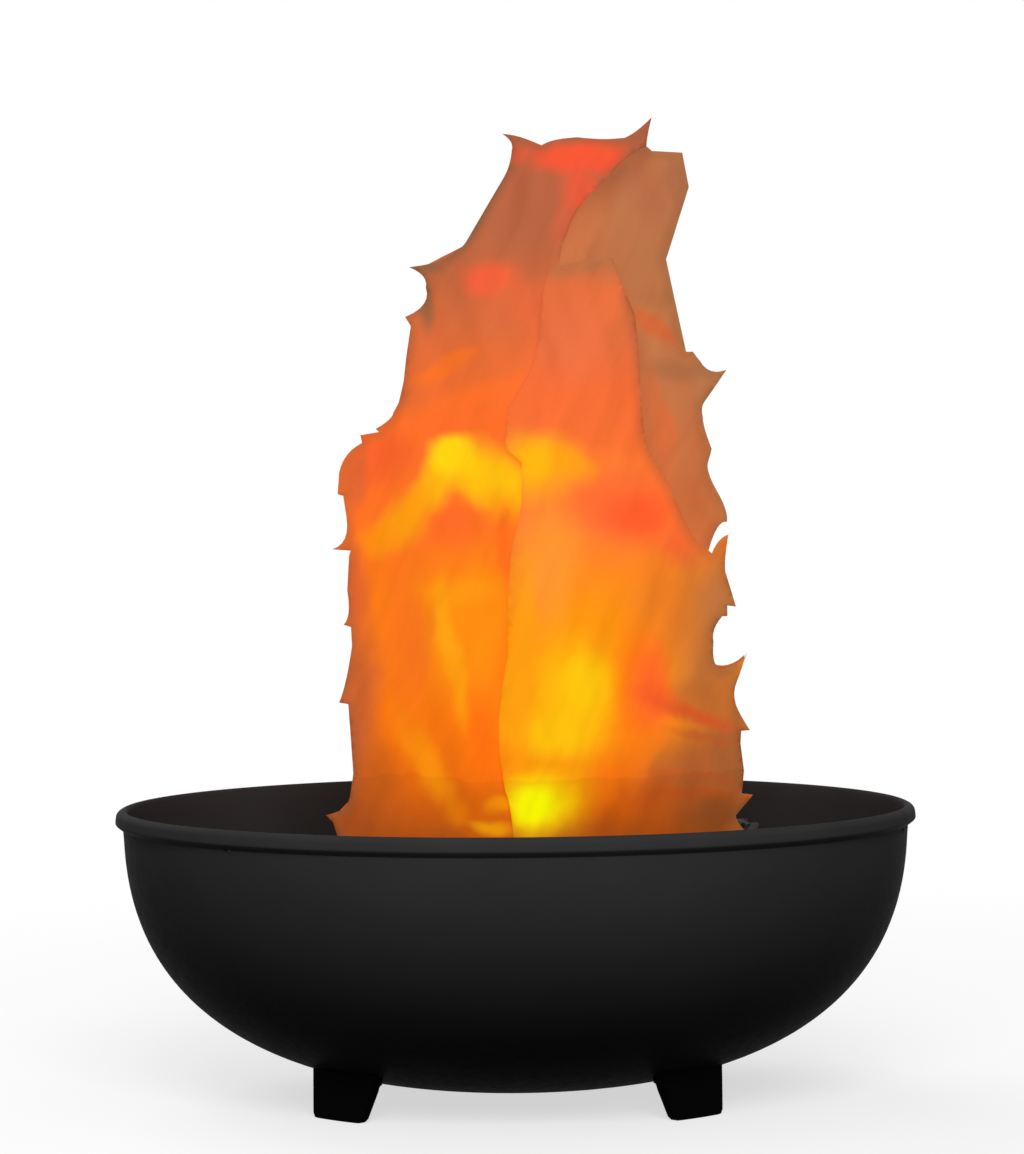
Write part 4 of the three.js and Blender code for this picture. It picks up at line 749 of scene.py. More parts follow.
def acrossWall(mesh, height, angle):
    # a tool or pin along Z, set square to the wall at a height
    lean = turnX(bowlLeanAt(height)) @ turnX(math.pi / 2)
    return placed(mesh, turnZ(angle), shift(0, -bowlRadiusAt(height), height), lean)


def bowlCurve(inset):
    # even steps round the superellipse, from the middle of the underside to the rim
    points = []
    power = 2 / bowl["fullness"]
    for i in range(bowl["rows"] + 1):
        turn = i / bowl["rows"] * math.pi / 2
        radius = (wallRadius - inset) * math.sin(turn) ** power
        height = rimHeight - (bowl["depth"] - inset) * max(0.0, math.cos(turn)) ** power
        points.append((radius, height))
    return points


# the turned-out lip, from the wall outside to the wall inside, measured from the rim's edge and top
lipShape = [
    (-3.3, -7.3), (-1.2, -5.8), (-0.5, -5.1), (-0.5, -4.3), (-0.8, -2.0), (-1.4, -1.1),
    (-2.5, -0.4), (-3.6, -0.05), (-4.5, -0.5), (-4.9, -1.8),
]


def wallDrill(size, height, angle, outside=bowl["cut"]):
    return acrossWall(rod(size / 2, -bowl["cut"], outside, 28), height, angle)


def makeBowl():
    innerEnd = rimHeight + lipShape[-1][1] - bowl["wall"] / 3
    profile = [p for p in bowlCurve(0) if p[1] < rimHeight - bowl["lipDrop"]]
    lip = roundedProfile(lipShape, bowl["lipSoft"], 3)
    profile += [(bowl["rim"] / 2 + x, rimHeight + z) for x, z in lip]
    profile += [p for p in reversed(bowlCurve(bowl["wall"])) if p[1] < innerEnd]
    ventLoop = slotLoop(bowl["ventWidth"] / 2, bowl["ventInner"], bowl["ventOuter"])
    vent = plate([ventLoop], 0, bowl["ventCut"], 0)
    cutters = [placed(vent, turnZ(360 * i / bowl["vents"])) for i in range(bowl["vents"])]
    hangHeight = rimHeight - bowl["hangDrop"]
    cutters += [wallDrill(bowl["hangHole"], hangHeight, a, bowl["hangCut"]) for a in bowl["hangAngles"]]
    cutters += [wallDrill(bowl["rivetHole"], rivetHeight, a) for a in bowl["footAngles"].values()]
    cutters.append(wallDrill(bowl["glandHole"], *glandPlace))
    cutters.append(wallDrill(bowl["switchHole"], *switchPlace))
    piece("bowl_shell", carved(lathe(profile, bowl["sides"]), cutters), "bowl_black", stands=["bowl"])


def makeLugs():
    low, reach, sink = bowl["lugTop"] - bowl["lugThick"], bowl["lugReach"] / 2, bowl["lugSink"]
    wallAt = bowlRadiusAt(low, bowl["wall"])
    outline = roundedBox(bowl["lugWidth"] / 2, reach + sink, bowl["lugCorner"], 0, reach - sink - wallAt)
    hole = circle(bowl["lugHole"] / 2, 0, -deckHoleRadius)
    lug = plate([outline, hole], low, bowl["lugTop"], 0.3)
    lugs = [placed(lug, turnZ(a)) for a in bowl["lugAngles"].values()]
    piece("bowl_lugs", together(lugs), "bowl_black")


deck = {
    "top": 78, "thick": 1.5, "margin": 1.2, "holeInset": 6, "hole": 4.2, "port": 88, "screwGap": 0.3,
    "lampAngles": (100, 220, 340), "lampScrewRadius": 92.5, "fanScrewRadius": 58.34,
}
deckUnder = deck["top"] - deck["thick"]
deckRadius = bowlRadiusAt(deckUnder, bowl["wall"]) - deck["margin"]
deckHoleRadius = deckRadius - deck["holeInset"]
rivetHeight = bowlHeightAt(bowl["rivetRadius"])
rivetLean = bowlLeanAt(rivetHeight)
glandPlace = (bowl["fittingHeight"], bowl["glandAngle"])
switchPlace = (bowl["fittingHeight"], bowl["switchAngle"])
makeBowl()
makeLugs()

print("stage 6: feet and rivets")
foot = {
    "radius": 89, "splay": 3, "width": 25.6, "flare": 4.4, "thick": 2.6, "flange": 10, "tongue": 12,
    "corner": 2.0, "gap": 0.3, "edge": 0.3, "cut": 4, "overTop": 2,
    "steps": 20, "outerSteps": 12, "flangeSteps": 8, "bendSteps": 5, "innerSteps": 9,
    "taper": 0.19,  # share of the way to the shoulders at which the tongue has its full slope
    "tipLong": 1.8, "tipStep": 1.6,  # the tongue's rounded end
    "bevel": 0.35, "bevelAngle": 50,
}
rivet = {"stem": 3.6, "head": 6.6, "headRise": 1.6, "headGap": 1.0, "tail": 0.7}
footInner = foot["radius"] - foot["thick"] / 2
footOuter = foot["radius"] + foot["thick"] / 2
flangeEnd = footInner - foot["flange"]


def footTop(radius):
    # the flange's upper face, just clear of the bowl
    return bowlHeightAt(radius) - foot["gap"] / math.sin(rivetLean)


def between(a, b, count):
    # the points that part a line from a to b into equal steps, without its ends
    return [(mix(a[0], b[0], i / count), mix(a[1], b[1], i / count)) for i in range(1, count)]


def footSection():
    # the foot cut through its middle, as (radius, height), from the floor up the outside
    thick, edge, splay = foot["thick"], foot["edge"], foot["splay"]
    top, low = footTop(footOuter), footTop(footInner) - thick
    section = [(footInner + splay, edge), (footInner + splay + edge, 0)]
    section += [(footOuter + splay - edge, 0), (footOuter + splay, edge)]
    section += between((footOuter + splay, edge), (footOuter, top), foot["outerSteps"])
    bendStart, flangeSteps, bendSteps = footInner - thick / 2, foot["flangeSteps"], foot["bendSteps"]
    for i in range(flangeSteps + 1):
        radius = mix(footOuter, flangeEnd, i / flangeSteps)
        section.append((radius, footTop(radius)))
    for i in range(flangeSteps, 0, -1):
        radius = mix(bendStart, flangeEnd, i / flangeSteps)
        section.append((radius, footTop(radius) - thick))
    bend = [(bendStart, footTop(bendStart) - thick), (footInner, low), (footInner, low - thick)]
    for i in range(1, bendSteps + 1):  # inner bend
        a = Vector(bend[0]).lerp(Vector(bend[1]), i / bendSteps)
        b = Vector(bend[1]).lerp(Vector(bend[2]), i / bendSteps)
        section.append(tuple(a.lerp(b, i / bendSteps)))
    return section + between(bend[2], (footInner + splay, edge), foot["innerSteps"])


def footBand(section):
    # the section swept across the foot's width, round the bowl's axis, wider towards the bowl
    rows = len(section)
    tall = footTop(footOuter) + foot["overTop"]
    points = []
    faces = []
    for j in range(foot["steps"] + 1):
        across = -1 + 2 * j / foot["steps"]
        for radius, height in section:
            half = foot["width"] / 2 + foot["flare"] * height / tall
            low = max(0.0, foot["corner"] - height)
            half -= foot["corner"] - math.sqrt(max(0.0, foot["corner"] ** 2 - low ** 2))
            x = across * half
            points.append((x, -math.sqrt(radius * radius - x * x), height))
    for j in range(foot["steps"]):
        for i in range(rows):
            k = (i + 1) % rows
            faces.append((j * rows + i, (j + 1) * rows + i, (j + 1) * rows + k, j * rows + k))
    faces.append(tuple(range(rows)))
    faces.append(tuple(reversed(range(foot["steps"] * rows, (foot["steps"] + 1) * rows))))
    return meshOf(points, faces)


def besideTongue(side):
    # what is cut away beside the tongue that goes under the bowl
    half, slim, wide = foot["width"] / 2, foot["tongue"] / 2, foot["width"]
    shoulder, tip = foot["thick"] - footInner, -flangeEnd
    slope = (mix(slim, half, foot["taper"]), mix(tip, shoulder, foot["taper"]))
    corners = [(wide, shoulder), (wide, 0), (0, 0), (0, tip + 1), (slim - foot["tipLong"], tip + 1)]
    corners += [(slim - foot["tipStep"], tip), (slim - 0.2, tip - 0.3), slope, (half, shoulder)]
    return plate([[(side * x, y) for x, y in corners]], -1, footTop(footOuter) + foot["cut"], 0)


def makeFoot():
    mesh = cleaned(carved(footBand(footSection()), [besideTongue(-1), besideTongue(1)]), 30)
    obj = bpy.data.objects.new("edge", mesh)
    scene.collection.objects.link(obj)
    soft = obj.modifiers.new("soft", "BEVEL")
    soft.width = foot["bevel"] * mm
    soft.segments = 2
    soft.limit_method = "ANGLE"
    soft.angle_limit = math.radians(foot["bevelAngle"])
    out = evaluatedMesh(obj)
    bpy.data.objects.remove(obj)
    return cleaned(out)


def makeRivet():
    inside = bowl["wall"] + rivet["headGap"]
    outside = foot["thick"] + 3 * foot["gap"]
    head, stem, tail = rivet["head"] / 2, rivet["stem"] / 2, rivet["tail"] * rivet["head"] / 2
    profile = dome(head, -rivet["headRise"], -inside, 8)[::-1]
    profile += [(stem, -inside), (stem, outside)]
    return lathe(profile + dome(tail, rivet["headRise"] / 2, outside, 6), 32)


footMesh = makeFoot()
rivetMesh = makeRivet()
for name, angle in bowl["footAngles"].items():
    piece("foot_plate_" + name, placed(footMesh, turnZ(angle)), "bowl_black", stands=["foot_" + name])
    pin = acrossWall(rivetMesh, rivetHeight, angle)
    piece("rivet_" + name, pin, "bright_steel", stands=["foot_rivet_" + name])

print("stage 7: screws and deck")
screw = {
    "short": 9, "thread": 3.6, "pitch": 0.8, "deep": 0.22, "tip": 0.6, "neck": 0.4,
    "head": 6.4, "rise": 2.2, "brim": 0.5, "soft": 0.15, "crown": 0.7,
    "recess": 1.0, "recessWide": 0.9, "recessLong": 3.6, "recessCorner": 0.2,
}
quarters = (0, 90, 180, 270)


def makeScrew(length):
    stem, head, brim, tip = screw["thread"] / 2, screw["head"] / 2, screw["brim"], screw["tip"]
    profile = [(0, -length), (stem * 0.7, -length), (stem, tip - length)]
    turns = int(length / screw["pitch"])
    pitch = (length - 1) / turns
    for i in range(turns):  # thread as fine grooves
        z = tip - length + i * pitch
        profile += [(stem, z), (stem - screw["deep"], z + pitch / 2)]
    profile += [(stem, -screw["neck"]), (stem, 0), (head - screw["soft"], 0), (head, screw["soft"])]
    profile += dome(head, screw["rise"] - brim, brim, 8, screw["crown"])
    body = lathe(profile, 24)
    wide, long = screw["recessWide"] / 2, screw["recessLong"] / 2
    for a, b in ((wide, long), (long, wide)):  # cross recess
        bar = roundedBox(a, b, screw["recessCorner"])
        body = carved(body, [plate([bar], screw["rise"] - screw["recess"], screw["rise"] + 1, 0)])
    return body


def putScrew(name, mesh, angle, radius, height, twist, finishName="bright_steel"):
    seated = placed(mesh, turnZ(angle), shift(0, -radius, height), turnZ(twist))
    piece("screw_" + name, seated, finishName, stands=[name])


def makeDeck():
    loops = [circle(deckRadius, sides=180), circle(deck["port"] / 2, sides=96)]
    spots = [(angle, deckHoleRadius) for angle in bowl["lugAngles"].values()]
    spots += [(angle, deck["lampScrewRadius"]) for angle in deck["lampAngles"]]
    spots += [(angle, deck["fanScrewRadius"]) for angle in quarters]
    for angle, radius in spots:
        centre = turnZ(angle) @ Vector((0, -radius, 0))
        loops.append(circle(deck["hole"] / 2, centre.x, centre.y, 16))
    piece("deck_sheet", plate(loops, deckUnder, deck["top"], 0.25), "deck_black", stands=["deck_plate"])


makeDeck()
shortScrew = makeScrew(screw["short"])
deckScrewSeat = deck["top"] + deck["screwGap"]
# each screw ends its turns at an angle of its own
for i, (name, angle) in enumerate(bowl["lugAngles"].items()):
    putScrew("deck_screw_" + name, shortScrew, angle, deckHoleRadius, deckScrewSeat, 17 + 31 * i)

print("stage 8: silk frame, clamps and lamps")
rail = {
    "half": 76, "bulge": 46, "end": 3, "wall": 1.2, "under": 79.6, "top": 89.6, "steps": 64,
    "tabFrom": 54, "tabTo": 72.4, "tabHalf": 4.5, "tabCorner": 1.2, "tabHole": 2.1,
    "tipLong": 12, "tipWide": 5.2, "tipInset": 6.6, "tipCorner": 0.6,
    "hemGap": 1.0, "layerStep": 1.1,  # from the rail to the first silk's middle, and on to the second's
}


def railShare(x):
    return min(1.0, max(-1.0, x / rail["half"]))


def railDepth(x):
    return rail["end"] + rail["bulge"] * math.cos(railShare(x) * math.pi / 2)


def railLine(reach, offset, side, steps):
    points = []
    for i in range(steps + 1):
        x = -reach + 2 * reach * i / steps
        slope = rail["bulge"] * math.pi / 2 / rail["half"] * math.sin(railShare(x) * math.pi / 2)
        points.append((x, side * (railDepth(x) + offset * math.hypot(1, slope))))
    return points


def railLoop(offset):
    front = railLine(rail["half"], offset, -1, rail["steps"])
    back = list(reversed(railLine(rail["half"], offset, 1, rail["steps"])))
    return front + [(rail["half"] + offset, 0)] + back + [(-rail["half"] - offset, 0)]


def makeRail():
    under, over = rail["under"], rail["under"] + rail["wall"]
    loops = [railLoop(rail["wall"] / 2), railLoop(-rail["wall"] / 2)]
    parts = [plate(loops, under, rail["top"], 0.25)]
    half, middle = (rail["tabTo"] - rail["tabFrom"]) / 2, (rail["tabTo"] + rail["tabFrom"]) / 2
    tabLoop = roundedBox(half, rail["tabHalf"], rail["tabCorner"], middle)
    tab = plate([tabLoop, circle(rail["tabHole"], deck["fanScrewRadius"])], under, over, 0.2)
    tipPlace = rail["half"] - rail["tipInset"]
    tipLoop = roundedBox(rail["tipLong"] / 2, rail["tipWide"] / 2, rail["tipCorner"], tipPlace)
    tip = plate([tipLoop], under, over, 0.2)
    parts += [placed(mesh, turnZ(a)) for mesh in (tab, tip) for a in (0, 180)]
    piece("silk_rail", together(parts), "sheet_grey", stands=["silk_frame"])


makeRail()

clamp = {"reach": 67, "thick": 1.0, "under": 82.6, "gap": 1.0, "steps": 48}
hemInner = rail["wall"] / 2 + rail["hemGap"]
hemOuter = hemInner + rail["layerStep"]
clampInner = hemOuter + clamp["gap"]
for side, name in ((-1, "front"), (1, "back")):
    outer = railLine(clamp["reach"], clampInner + clamp["thick"], side, clamp["steps"])
    inner = railLine(clamp["reach"], clampInner, side, clamp["steps"])
    strip = plate([outer + inner[::-1]], clamp["under"], rail["top"], 0.2)
    piece("clamp_strip_" + name, strip, "sheet_grey", stands=["silk_clamp_" + name])

lamp = {
    "radius": 80, "width": 20, "web": 13.3, "rise": 22.6, "lean": 6.8, "lip": 4.6, "flange": 16,
    "sheet": 1.5, "bend": 0.9, "cheekBend": 0.8, "under": 78.3, "gap": 0.3, "screwGap": 0.3,
    "board": 1.2, "boardMargin": 1.2, "boardCorner": 0.8, "lens": 8, "lensRise": 3.4,
    "chip": (0.9, 0.6), "chipRise": 0.5, "chipOut": 6.6, "chipHeights": (2.6, 8.4),
}
lampTilt = math.atan2(lamp["lean"], lamp["rise"] - lamp["web"])
lampFace = math.hypot(lamp["lean"], lamp["rise"] - lamp["web"])
asSection = Matrix(((0, 0, 1, 0), (1, 0, 0, 0), (0, 1, 0, 0), (0, 0, 0, 1)))  # outline to the Y-Z plane


def lampPlate(corners, soft, thick):
    # an outline of (radius, height) as a sheet on edge
    loop = [(-r, h) for r, h in softLoop(corners, soft, 3)]
    return plate([loop], -thick / 2, thick / 2, 0.2)


def makeBracket():
    low, top, sheet = lamp["under"], lamp["under"] + lamp["rise"], lamp["sheet"]
    bend = low + lamp["web"]
    inner, run, reach = lamp["radius"], lamp["radius"] + lamp["lean"], lamp["radius"] + lamp["flange"]
    web = [
        (inner, low), (reach, low), (reach, low + sheet), (inner + sheet, low + sheet),
        (inner + sheet, bend - sheet / 2), (run + sheet / math.cos(lampTilt), top), (run, top), (inner, bend),
    ]
    lip = lamp["lip"]
    cheek = [(inner, low), (run, low), (run, bend - lip), (run + lip, top), (run, top), (inner, bend)]
    parts = [placed(lampPlate(web, lamp["bend"], lamp["width"]), asSection)]
    side = lampPlate(cheek, lamp["cheekBend"], sheet)
    for way in (-1, 1):
        parts.append(placed(side, shift(way * (lamp["width"] - sheet) / 2, 0, 0), asSection))
    return together(parts)


def makeLens():
    base = lamp["gap"] * 2 + lamp["board"]
    half, third = lamp["lens"] / 2, lamp["lensRise"] / 3
    profile = [(0, base), (half - 0.2, base), (half, base + 0.2)]
    lens = lathe(profile + dome(half, 2 * third, base + third, 10), 40)
    return placed(lens, shift(0, 0, lampFace / 2), turnX(-math.pi / 2))


def makeBoard():
    halfWide, thick, onFace = lamp["width"] / 2 - lamp["boardMargin"], lamp["board"], turnX(math.pi / 2)
    outline = roundedBox(halfWide, (lampFace - lamp["boardMargin"]) / 2, lamp["boardCorner"], 0, lampFace / 2)
    board = plate([outline], 0, thick, 0.15)
    chip = plate([roundedBox(*lamp["chip"], 0.15)], thick, thick + lamp["chipRise"], 0.1)
    places = [(side * lamp["chipOut"], height) for height in lamp["chipHeights"] for side in (-1, 1)]
    chips = together([placed(chip, shift(x, y, 0)) for x, y in places])
    board = placed(board, shift(0, lamp["gap"] + thick, 0), onFace)
    return board, placed(chips, shift(0, lamp["gap"], 0), onFace)


bracketMesh = makeBracket()
lensMesh = makeLens()
boardMesh, chipMesh = makeBoard()
lampScrewSeat = lamp["under"] + lamp["sheet"] + lamp["screwGap"]
for i, angle in enumerate(deck["lampAngles"]):
    number = str(i + 1)
    face = [turnZ(angle), shift(0, -lamp["radius"], lamp["under"] + lamp["web"]), turnX(lampTilt)]
    sheet, board = placed(bracketMesh, turnZ(angle)), placed(boardMesh, *face)
    piece("lamp_sheet_" + number, sheet, "lamp_grey", stands=["lamp_bracket_" + number])
    piece("lamp_circuit_" + number, board, "circuit_green", stands=["lamp_board_" + number])
    piece("lamp_chips_" + number, placed(chipMesh, *face), "fitting_plastic")
    piece("lamp_glass_" + number, placed(lensMesh, *face), "lens_clear", stands=["lamp_lens_" + number])
    screwName, screwTwist = "lamp_screw_" + number, 25 * i
    putScrew(screwName, shortScrew, angle, deck["lampScrewRadius"], lampScrewSeat, screwTwist, "dark_steel")

print("stage 9: fan, guard and rear fittings")
fan = {
    "top": 76.2, "thick": 25, "topDrop": 4, "hub": 40, "hubHeight": 15, "wall": 2.2, "soft": 0.8,
    "dish": 0.35, "dishEnd": 0.55, "dishRim": 0.6,  # the hub's slightly sunk middle
    "boss": 3.6, "bossLow": 66.7, "shaft": 1.8, "shaftDrop": 1.2,
    "blades": 7, "chord": 15, "rise": 11, "tip": 42.5, "sweep": 0.12, "camber": 0.3,
    "bladeThick": 1.6, "bladeSink": 0.8, "bladeEdge": 0.05,
    "chordShares": (0.92, 1.12), "riseShares": (1.0, 0.8), "thickShares": (1.0, 0.7),  # at hub and tip
    "bladeSteps": 12, "bladeRows": 4,
}
guard = {
    "under": 78.3, "thick": 1.0, "bar": 2.4, "barDrop": 0.04, "barSink": 1, "outer": 47, "eye": 9, "ear": 4.6,
    "rings": 3, "hole": 2.1, "screwGap": 0.3,
}


def bladePoint(share, along, side):
    # share runs from hub to tip, along from one edge of the blade to the other
    radius = mix(fan["hub"] / 2 - fan["bladeSink"], fan["tip"], share)
    turn = along * fan["chord"] / 2 * mix(*fan["chordShares"], share) / radius + fan["sweep"] * share
    lift = fan["rise"] / 2 * (along + fan["camber"] * (along * along - 1)) * mix(*fan["riseShares"], share)
    shape = math.sqrt(max(fan["bladeEdge"], 1 - along ** 4)) * mix(*fan["thickShares"], share)
    height = fan["top"] - fan["topDrop"] - fan["hubHeight"] / 2 + lift
    height += side * shape * fan["bladeThick"] / 2
    return radius * math.sin(turn), -radius * math.cos(turn), height


def makeBlade():
    count, rows = fan["bladeSteps"], fan["bladeRows"]
    across = 2 * (count + 1)
    points = [
        bladePoint(k / rows, -1 + 2 * i / count, side)
        for k in range(rows + 1) for i in range(count + 1) for side in (1, -1)
    ]
    faces = []
    for k in range(rows):
        for i in range(count):
            a, b = k * across + 2 * i, (k + 1) * across + 2 * i
            faces += [(a, a + 2, b + 2, b), (a + 1, b + 1, b + 3, a + 3)]
        for a in (k * across, k * across + 2 * count):
            faces.append((a, a + across, a + across + 1, a + 1))
    for end in (0, rows * across):
        faces += [(a, a + 1, a + 3, a + 2) for a in range(end, end + 2 * count, 2)]
    return cleaned(meshOf(points, faces))


def makeRotor():
    high = fan["top"] - fan["topDrop"]
    low, underside = high - fan["hubHeight"], high - fan["wall"]
    dish, shaftTop = high - fan["dish"], high - fan["shaftDrop"]
    outer, inner, shaft, boss = fan["hub"] / 2, fan["hub"] / 2 - fan["wall"], fan["shaft"], fan["boss"]
    corners = [
        (0, dish), (outer * fan["dishEnd"], dish), (outer * fan["dishRim"], high), (outer, high),
        (outer, low), (inner, low), (inner, underside), (boss, underside), (boss, fan["bossLow"]),
        (shaft, fan["bossLow"]), (shaft, shaftTop), (0, shaftTop),
    ]
    blade = makeBlade()
    blades = [placed(blade, turnZ(360 * i / fan["blades"])) for i in range(fan["blades"])]
    return together([lathe(roundedProfile(corners, fan["soft"]), 96)] + blades)


def makeGuard():
    low, high = guard["under"], guard["under"] + guard["thick"]
    step = (guard["outer"] - guard["eye"]) / guard["rings"]
    parts = [plate([circle(guard["eye"], sides=72)], low, high, 0.25)]
    for i in range(1, guard["rings"] + 1):
        outer = guard["eye"] + step * i
        loops = [circle(outer, sides=144), circle(outer - guard["bar"], sides=144)]
        parts.append(plate(loops, low, high, 0.25))
    start, end = guard["eye"] - guard["barSink"], deck["fanScrewRadius"] - guard["ear"] / 2
    barLoop = roundedBox((end - start) / 2, guard["bar"] / 2, 0.3, (end + start) / 2)
    bar = plate([barLoop], low + guard["barDrop"], high - guard["barDrop"], 0.25)
    out = deck["fanScrewRadius"]
    ear = plate([circle(guard["ear"], out, sides=48), circle(guard["hole"], out)], low, high, 0.25)
    for angle in quarters:
        parts += [placed(bar, turnZ(angle)), placed(ear, turnZ(angle))]
    return together(parts)


piece("guard_grille", makeGuard(), "deck_black", stands=["finger_guard"])
piece("rotor_wheel", makeRotor(), "fan_plastic", "fan", stands=["fan_rotor"])
longScrew = makeScrew(fan["thick"] / 2)
guardSeat = guard["under"] + guard["thick"] + guard["screwGap"]
tabSeat = rail["under"] + rail["wall"] + guard["screwGap"]
for i, name in enumerate(("front", "right", "back", "left")):
    seat = tabSeat if i % 2 else guardSeat  # the side screws hold the silk frame's tabs too
    putScrew("fan_screw_" + name, longScrew, quarters[i], deck["fanScrewRadius"], seat, 40 + 23 * i)

gland = {
    "bore": 4.3, "thread": 7.7, "threadDeep": 0.35, "turns": 12, "inside": 11, "hex": 10.5, "hexRise": 4.5,
    "neck": 6.7, "neckRise": 5, "dome": 9.5, "domeRise": 9, "domeTop": 0.71, "domeSoft": 1.6, "gap": 0.3,
    "grips": 16, "gripDeep": 0.35, "gripBand": 1.2, "gripFrom": 0.7, "gripTo": 0.4,
}
switch = {
    "bezel": 11.5, "bezelRise": 2, "bezelSoft": 0.9, "barrel": 9.8, "depth": 13, "gap": 0.3,
    "rockerLong": 13.6, "rockerWide": 10.2, "rockerRise": 2.2, "rockerDip": 1.4, "pivotDrop": 0.6, "tilt": 12,
}


def makeGlandBody():
    base, bore, inside, crest = gland["gap"], gland["bore"], gland["inside"], gland["thread"]
    neck = ring(bore, gland["neck"], base, base + gland["hexRise"] + gland["neckRise"], 64, 0.3)
    root = crest - gland["threadDeep"]
    pitch = inside / gland["turns"]
    thread = [(bore, -inside)]
    for i in range(gland["turns"]):
        thread += [(root, i * pitch - inside), (crest, (i + 0.5) * pitch - inside)]
    thread += [(root, base + 1), (bore, base + 1)]
    hexagon = [circle(gland["hex"], sides=6), circle(gland["neck"] - 0.4, sides=48)]
    nut = plate(hexagon, base, base + gland["hexRise"], 0.4)
    return together([neck, lathe(thread, 64, closed=True), nut])


def makeGlandCap():
    bore, wide, rise = gland["bore"], gland["dome"], gland["domeRise"]
    inside = gland["neck"] + gland["gap"]
    low = gland["hexRise"] + 2 * gland["gap"]
    waist = low + gland["neckRise"] + gland["gap"]
    corners = [(inside, low), (wide, low), (wide, low + rise / 2), (wide * gland["domeTop"], low + rise)]
    corners += [(bore, low + rise), (bore, waist), (inside, waist)]
    cap = lathe(softLoop(corners, gland["domeSoft"], 6), 192, closed=True)
    for vertex in cap.vertices:  # grips pressed in round the lower half
        radius = math.hypot(vertex.co.x, vertex.co.y) / mm
        angle = math.atan2(vertex.co.y, vertex.co.x)
        down = 1 - smooth(vertex.co.z / mm, low + rise * gland["gripTo"], low + rise * gland["gripFrom"])
        if radius > wide - gland["gripBand"]:
            dent = gland["gripDeep"] * down * max(0.0, math.cos(angle * gland["grips"])) ** 4
            vertex.co.x *= 1 - dent / radius
            vertex.co.y *= 1 - dent / radius
    return cleaned(cap)


def makeHousing():
    gap, depth, barrel, bezel = switch["gap"], switch["depth"], switch["barrel"], switch["bezel"]
    top = gap + switch["bezelRise"]
    profile = [(0, -depth), (barrel, -depth), (barrel, gap), (bezel, gap), (bezel, top), (0, top)]
    body = lathe(roundedProfile(profile, switch["bezelSoft"], 5), 96)
    halfWide, halfLong = switch["rockerWide"] / 2, switch["rockerLong"] / 2
    pocket = plate([roundedBox(halfWide + gap, halfLong + 2 * gap, 0.8)], -halfLong, top + 2, 0)
    return carved(body, [pocket])


def makeRocker():
    half, rise, dip = switch["rockerLong"] / 2, switch["rockerRise"], switch["rockerDip"]
    shares = [-1 + i / 6 for i in range(13)]
    crown = [(half * share, rise - dip * (1 - share * share)) for share in shares]  # hollow in the middle
    outline = softLoop(crown + [(half - dip, -dip), (0, -half / 2), (-half + dip, -dip)], 0.5, 3)
    rocker = plate([outline], -switch["rockerWide"] / 2, switch["rockerWide"] / 2, 0.3)
    pivotLift = switch["gap"] + switch["bezelRise"] - switch["pivotDrop"]
    return placed(rocker, shift(0, 0, pivotLift), turnX(math.radians(switch["tilt"])), asSection)


piece("gland_hexagon", acrossWall(makeGlandBody(), *glandPlace), "fitting_plastic", stands=["gland_body"])
piece("gland_dome", acrossWall(makeGlandCap(), *glandPlace), "fitting_plastic", stands=["gland_cap"])
piece("switch_bezel", acrossWall(makeHousing(), *switchPlace), "fitting_plastic", stands=["switch_housing"])
button = acrossWall(makeRocker(), *switchPlace)
piece("rocker_button", button, "rocker_red", "rocker", stands=["switch_rocker"])

print("stage 10: silks")

# Each outline starts on the hem and runs on by straight lines (end x, end z) and by curves
# (bend x, bend z, end x, end z), in shares of the flame's width, from the bowl's axis, and of
# its rise above the hem.
frontLeftShares = [
    (-0.459, 0), (-0.459, 0.028, -0.412, 0.062), (-0.425, 0.082), (-0.443, 0.091),
    (-0.391, 0.096, -0.385, 0.116), (-0.377, 0.146), (-0.383, 0.198), (-0.388, 0.237),
    (-0.409, 0.239), (-0.392, 0.261, -0.378, 0.313), (-0.38, 0.338), (-0.397, 0.341),
    (-0.378, 0.351, -0.388, 0.386), (-0.383, 0.431), (-0.379, 0.438), (-0.422, 0.44),
    (-0.379, 0.447, -0.388, 0.483), (-0.395, 0.51), (-0.408, 0.512), (-0.404, 0.54),
    (-0.394, 0.567, -0.35, 0.579), (-0.354, 0.589), (-0.31, 0.593), (-0.318, 0.597),
    (-0.276, 0.61, -0.276, 0.618), (-0.251, 0.641, -0.253, 0.649), (-0.245, 0.689), (-0.234, 0.731),
    (-0.247, 0.743), (-0.183, 0.758, -0.198, 0.781), (-0.192, 0.798, -0.237, 0.808),
    (-0.147, 0.814, -0.128, 0.827), (-0.108, 0.833, -0.097, 0.845), (-0.017, 0.921),
    (0.002, 0.938, 0.005, 0.958), (0.012, 0.971, -0.017, 0.981), (0.019, 0.98, 0.074, 0.964),
    (0.099, 0.972, 0.156, 0.974), (0.208, 0.97, 0.266, 0.973), (0.293, 0.979, 0.33, 1),
    (0.32, 0.98, 0.317, 0.962), (0.281, 0.957, 0.218, 0.917), (0.149, 0.887, 0.128, 0.844),
    (0.112, 0.834, 0.104, 0.762), (0.116, 0.697), (0.076, 0.632), (0.075, 0.573), (0.062, 0.504),
    (0.05, 0.427), (0.032, 0.312), (0.028, 0.197), (0.037, 0),
]
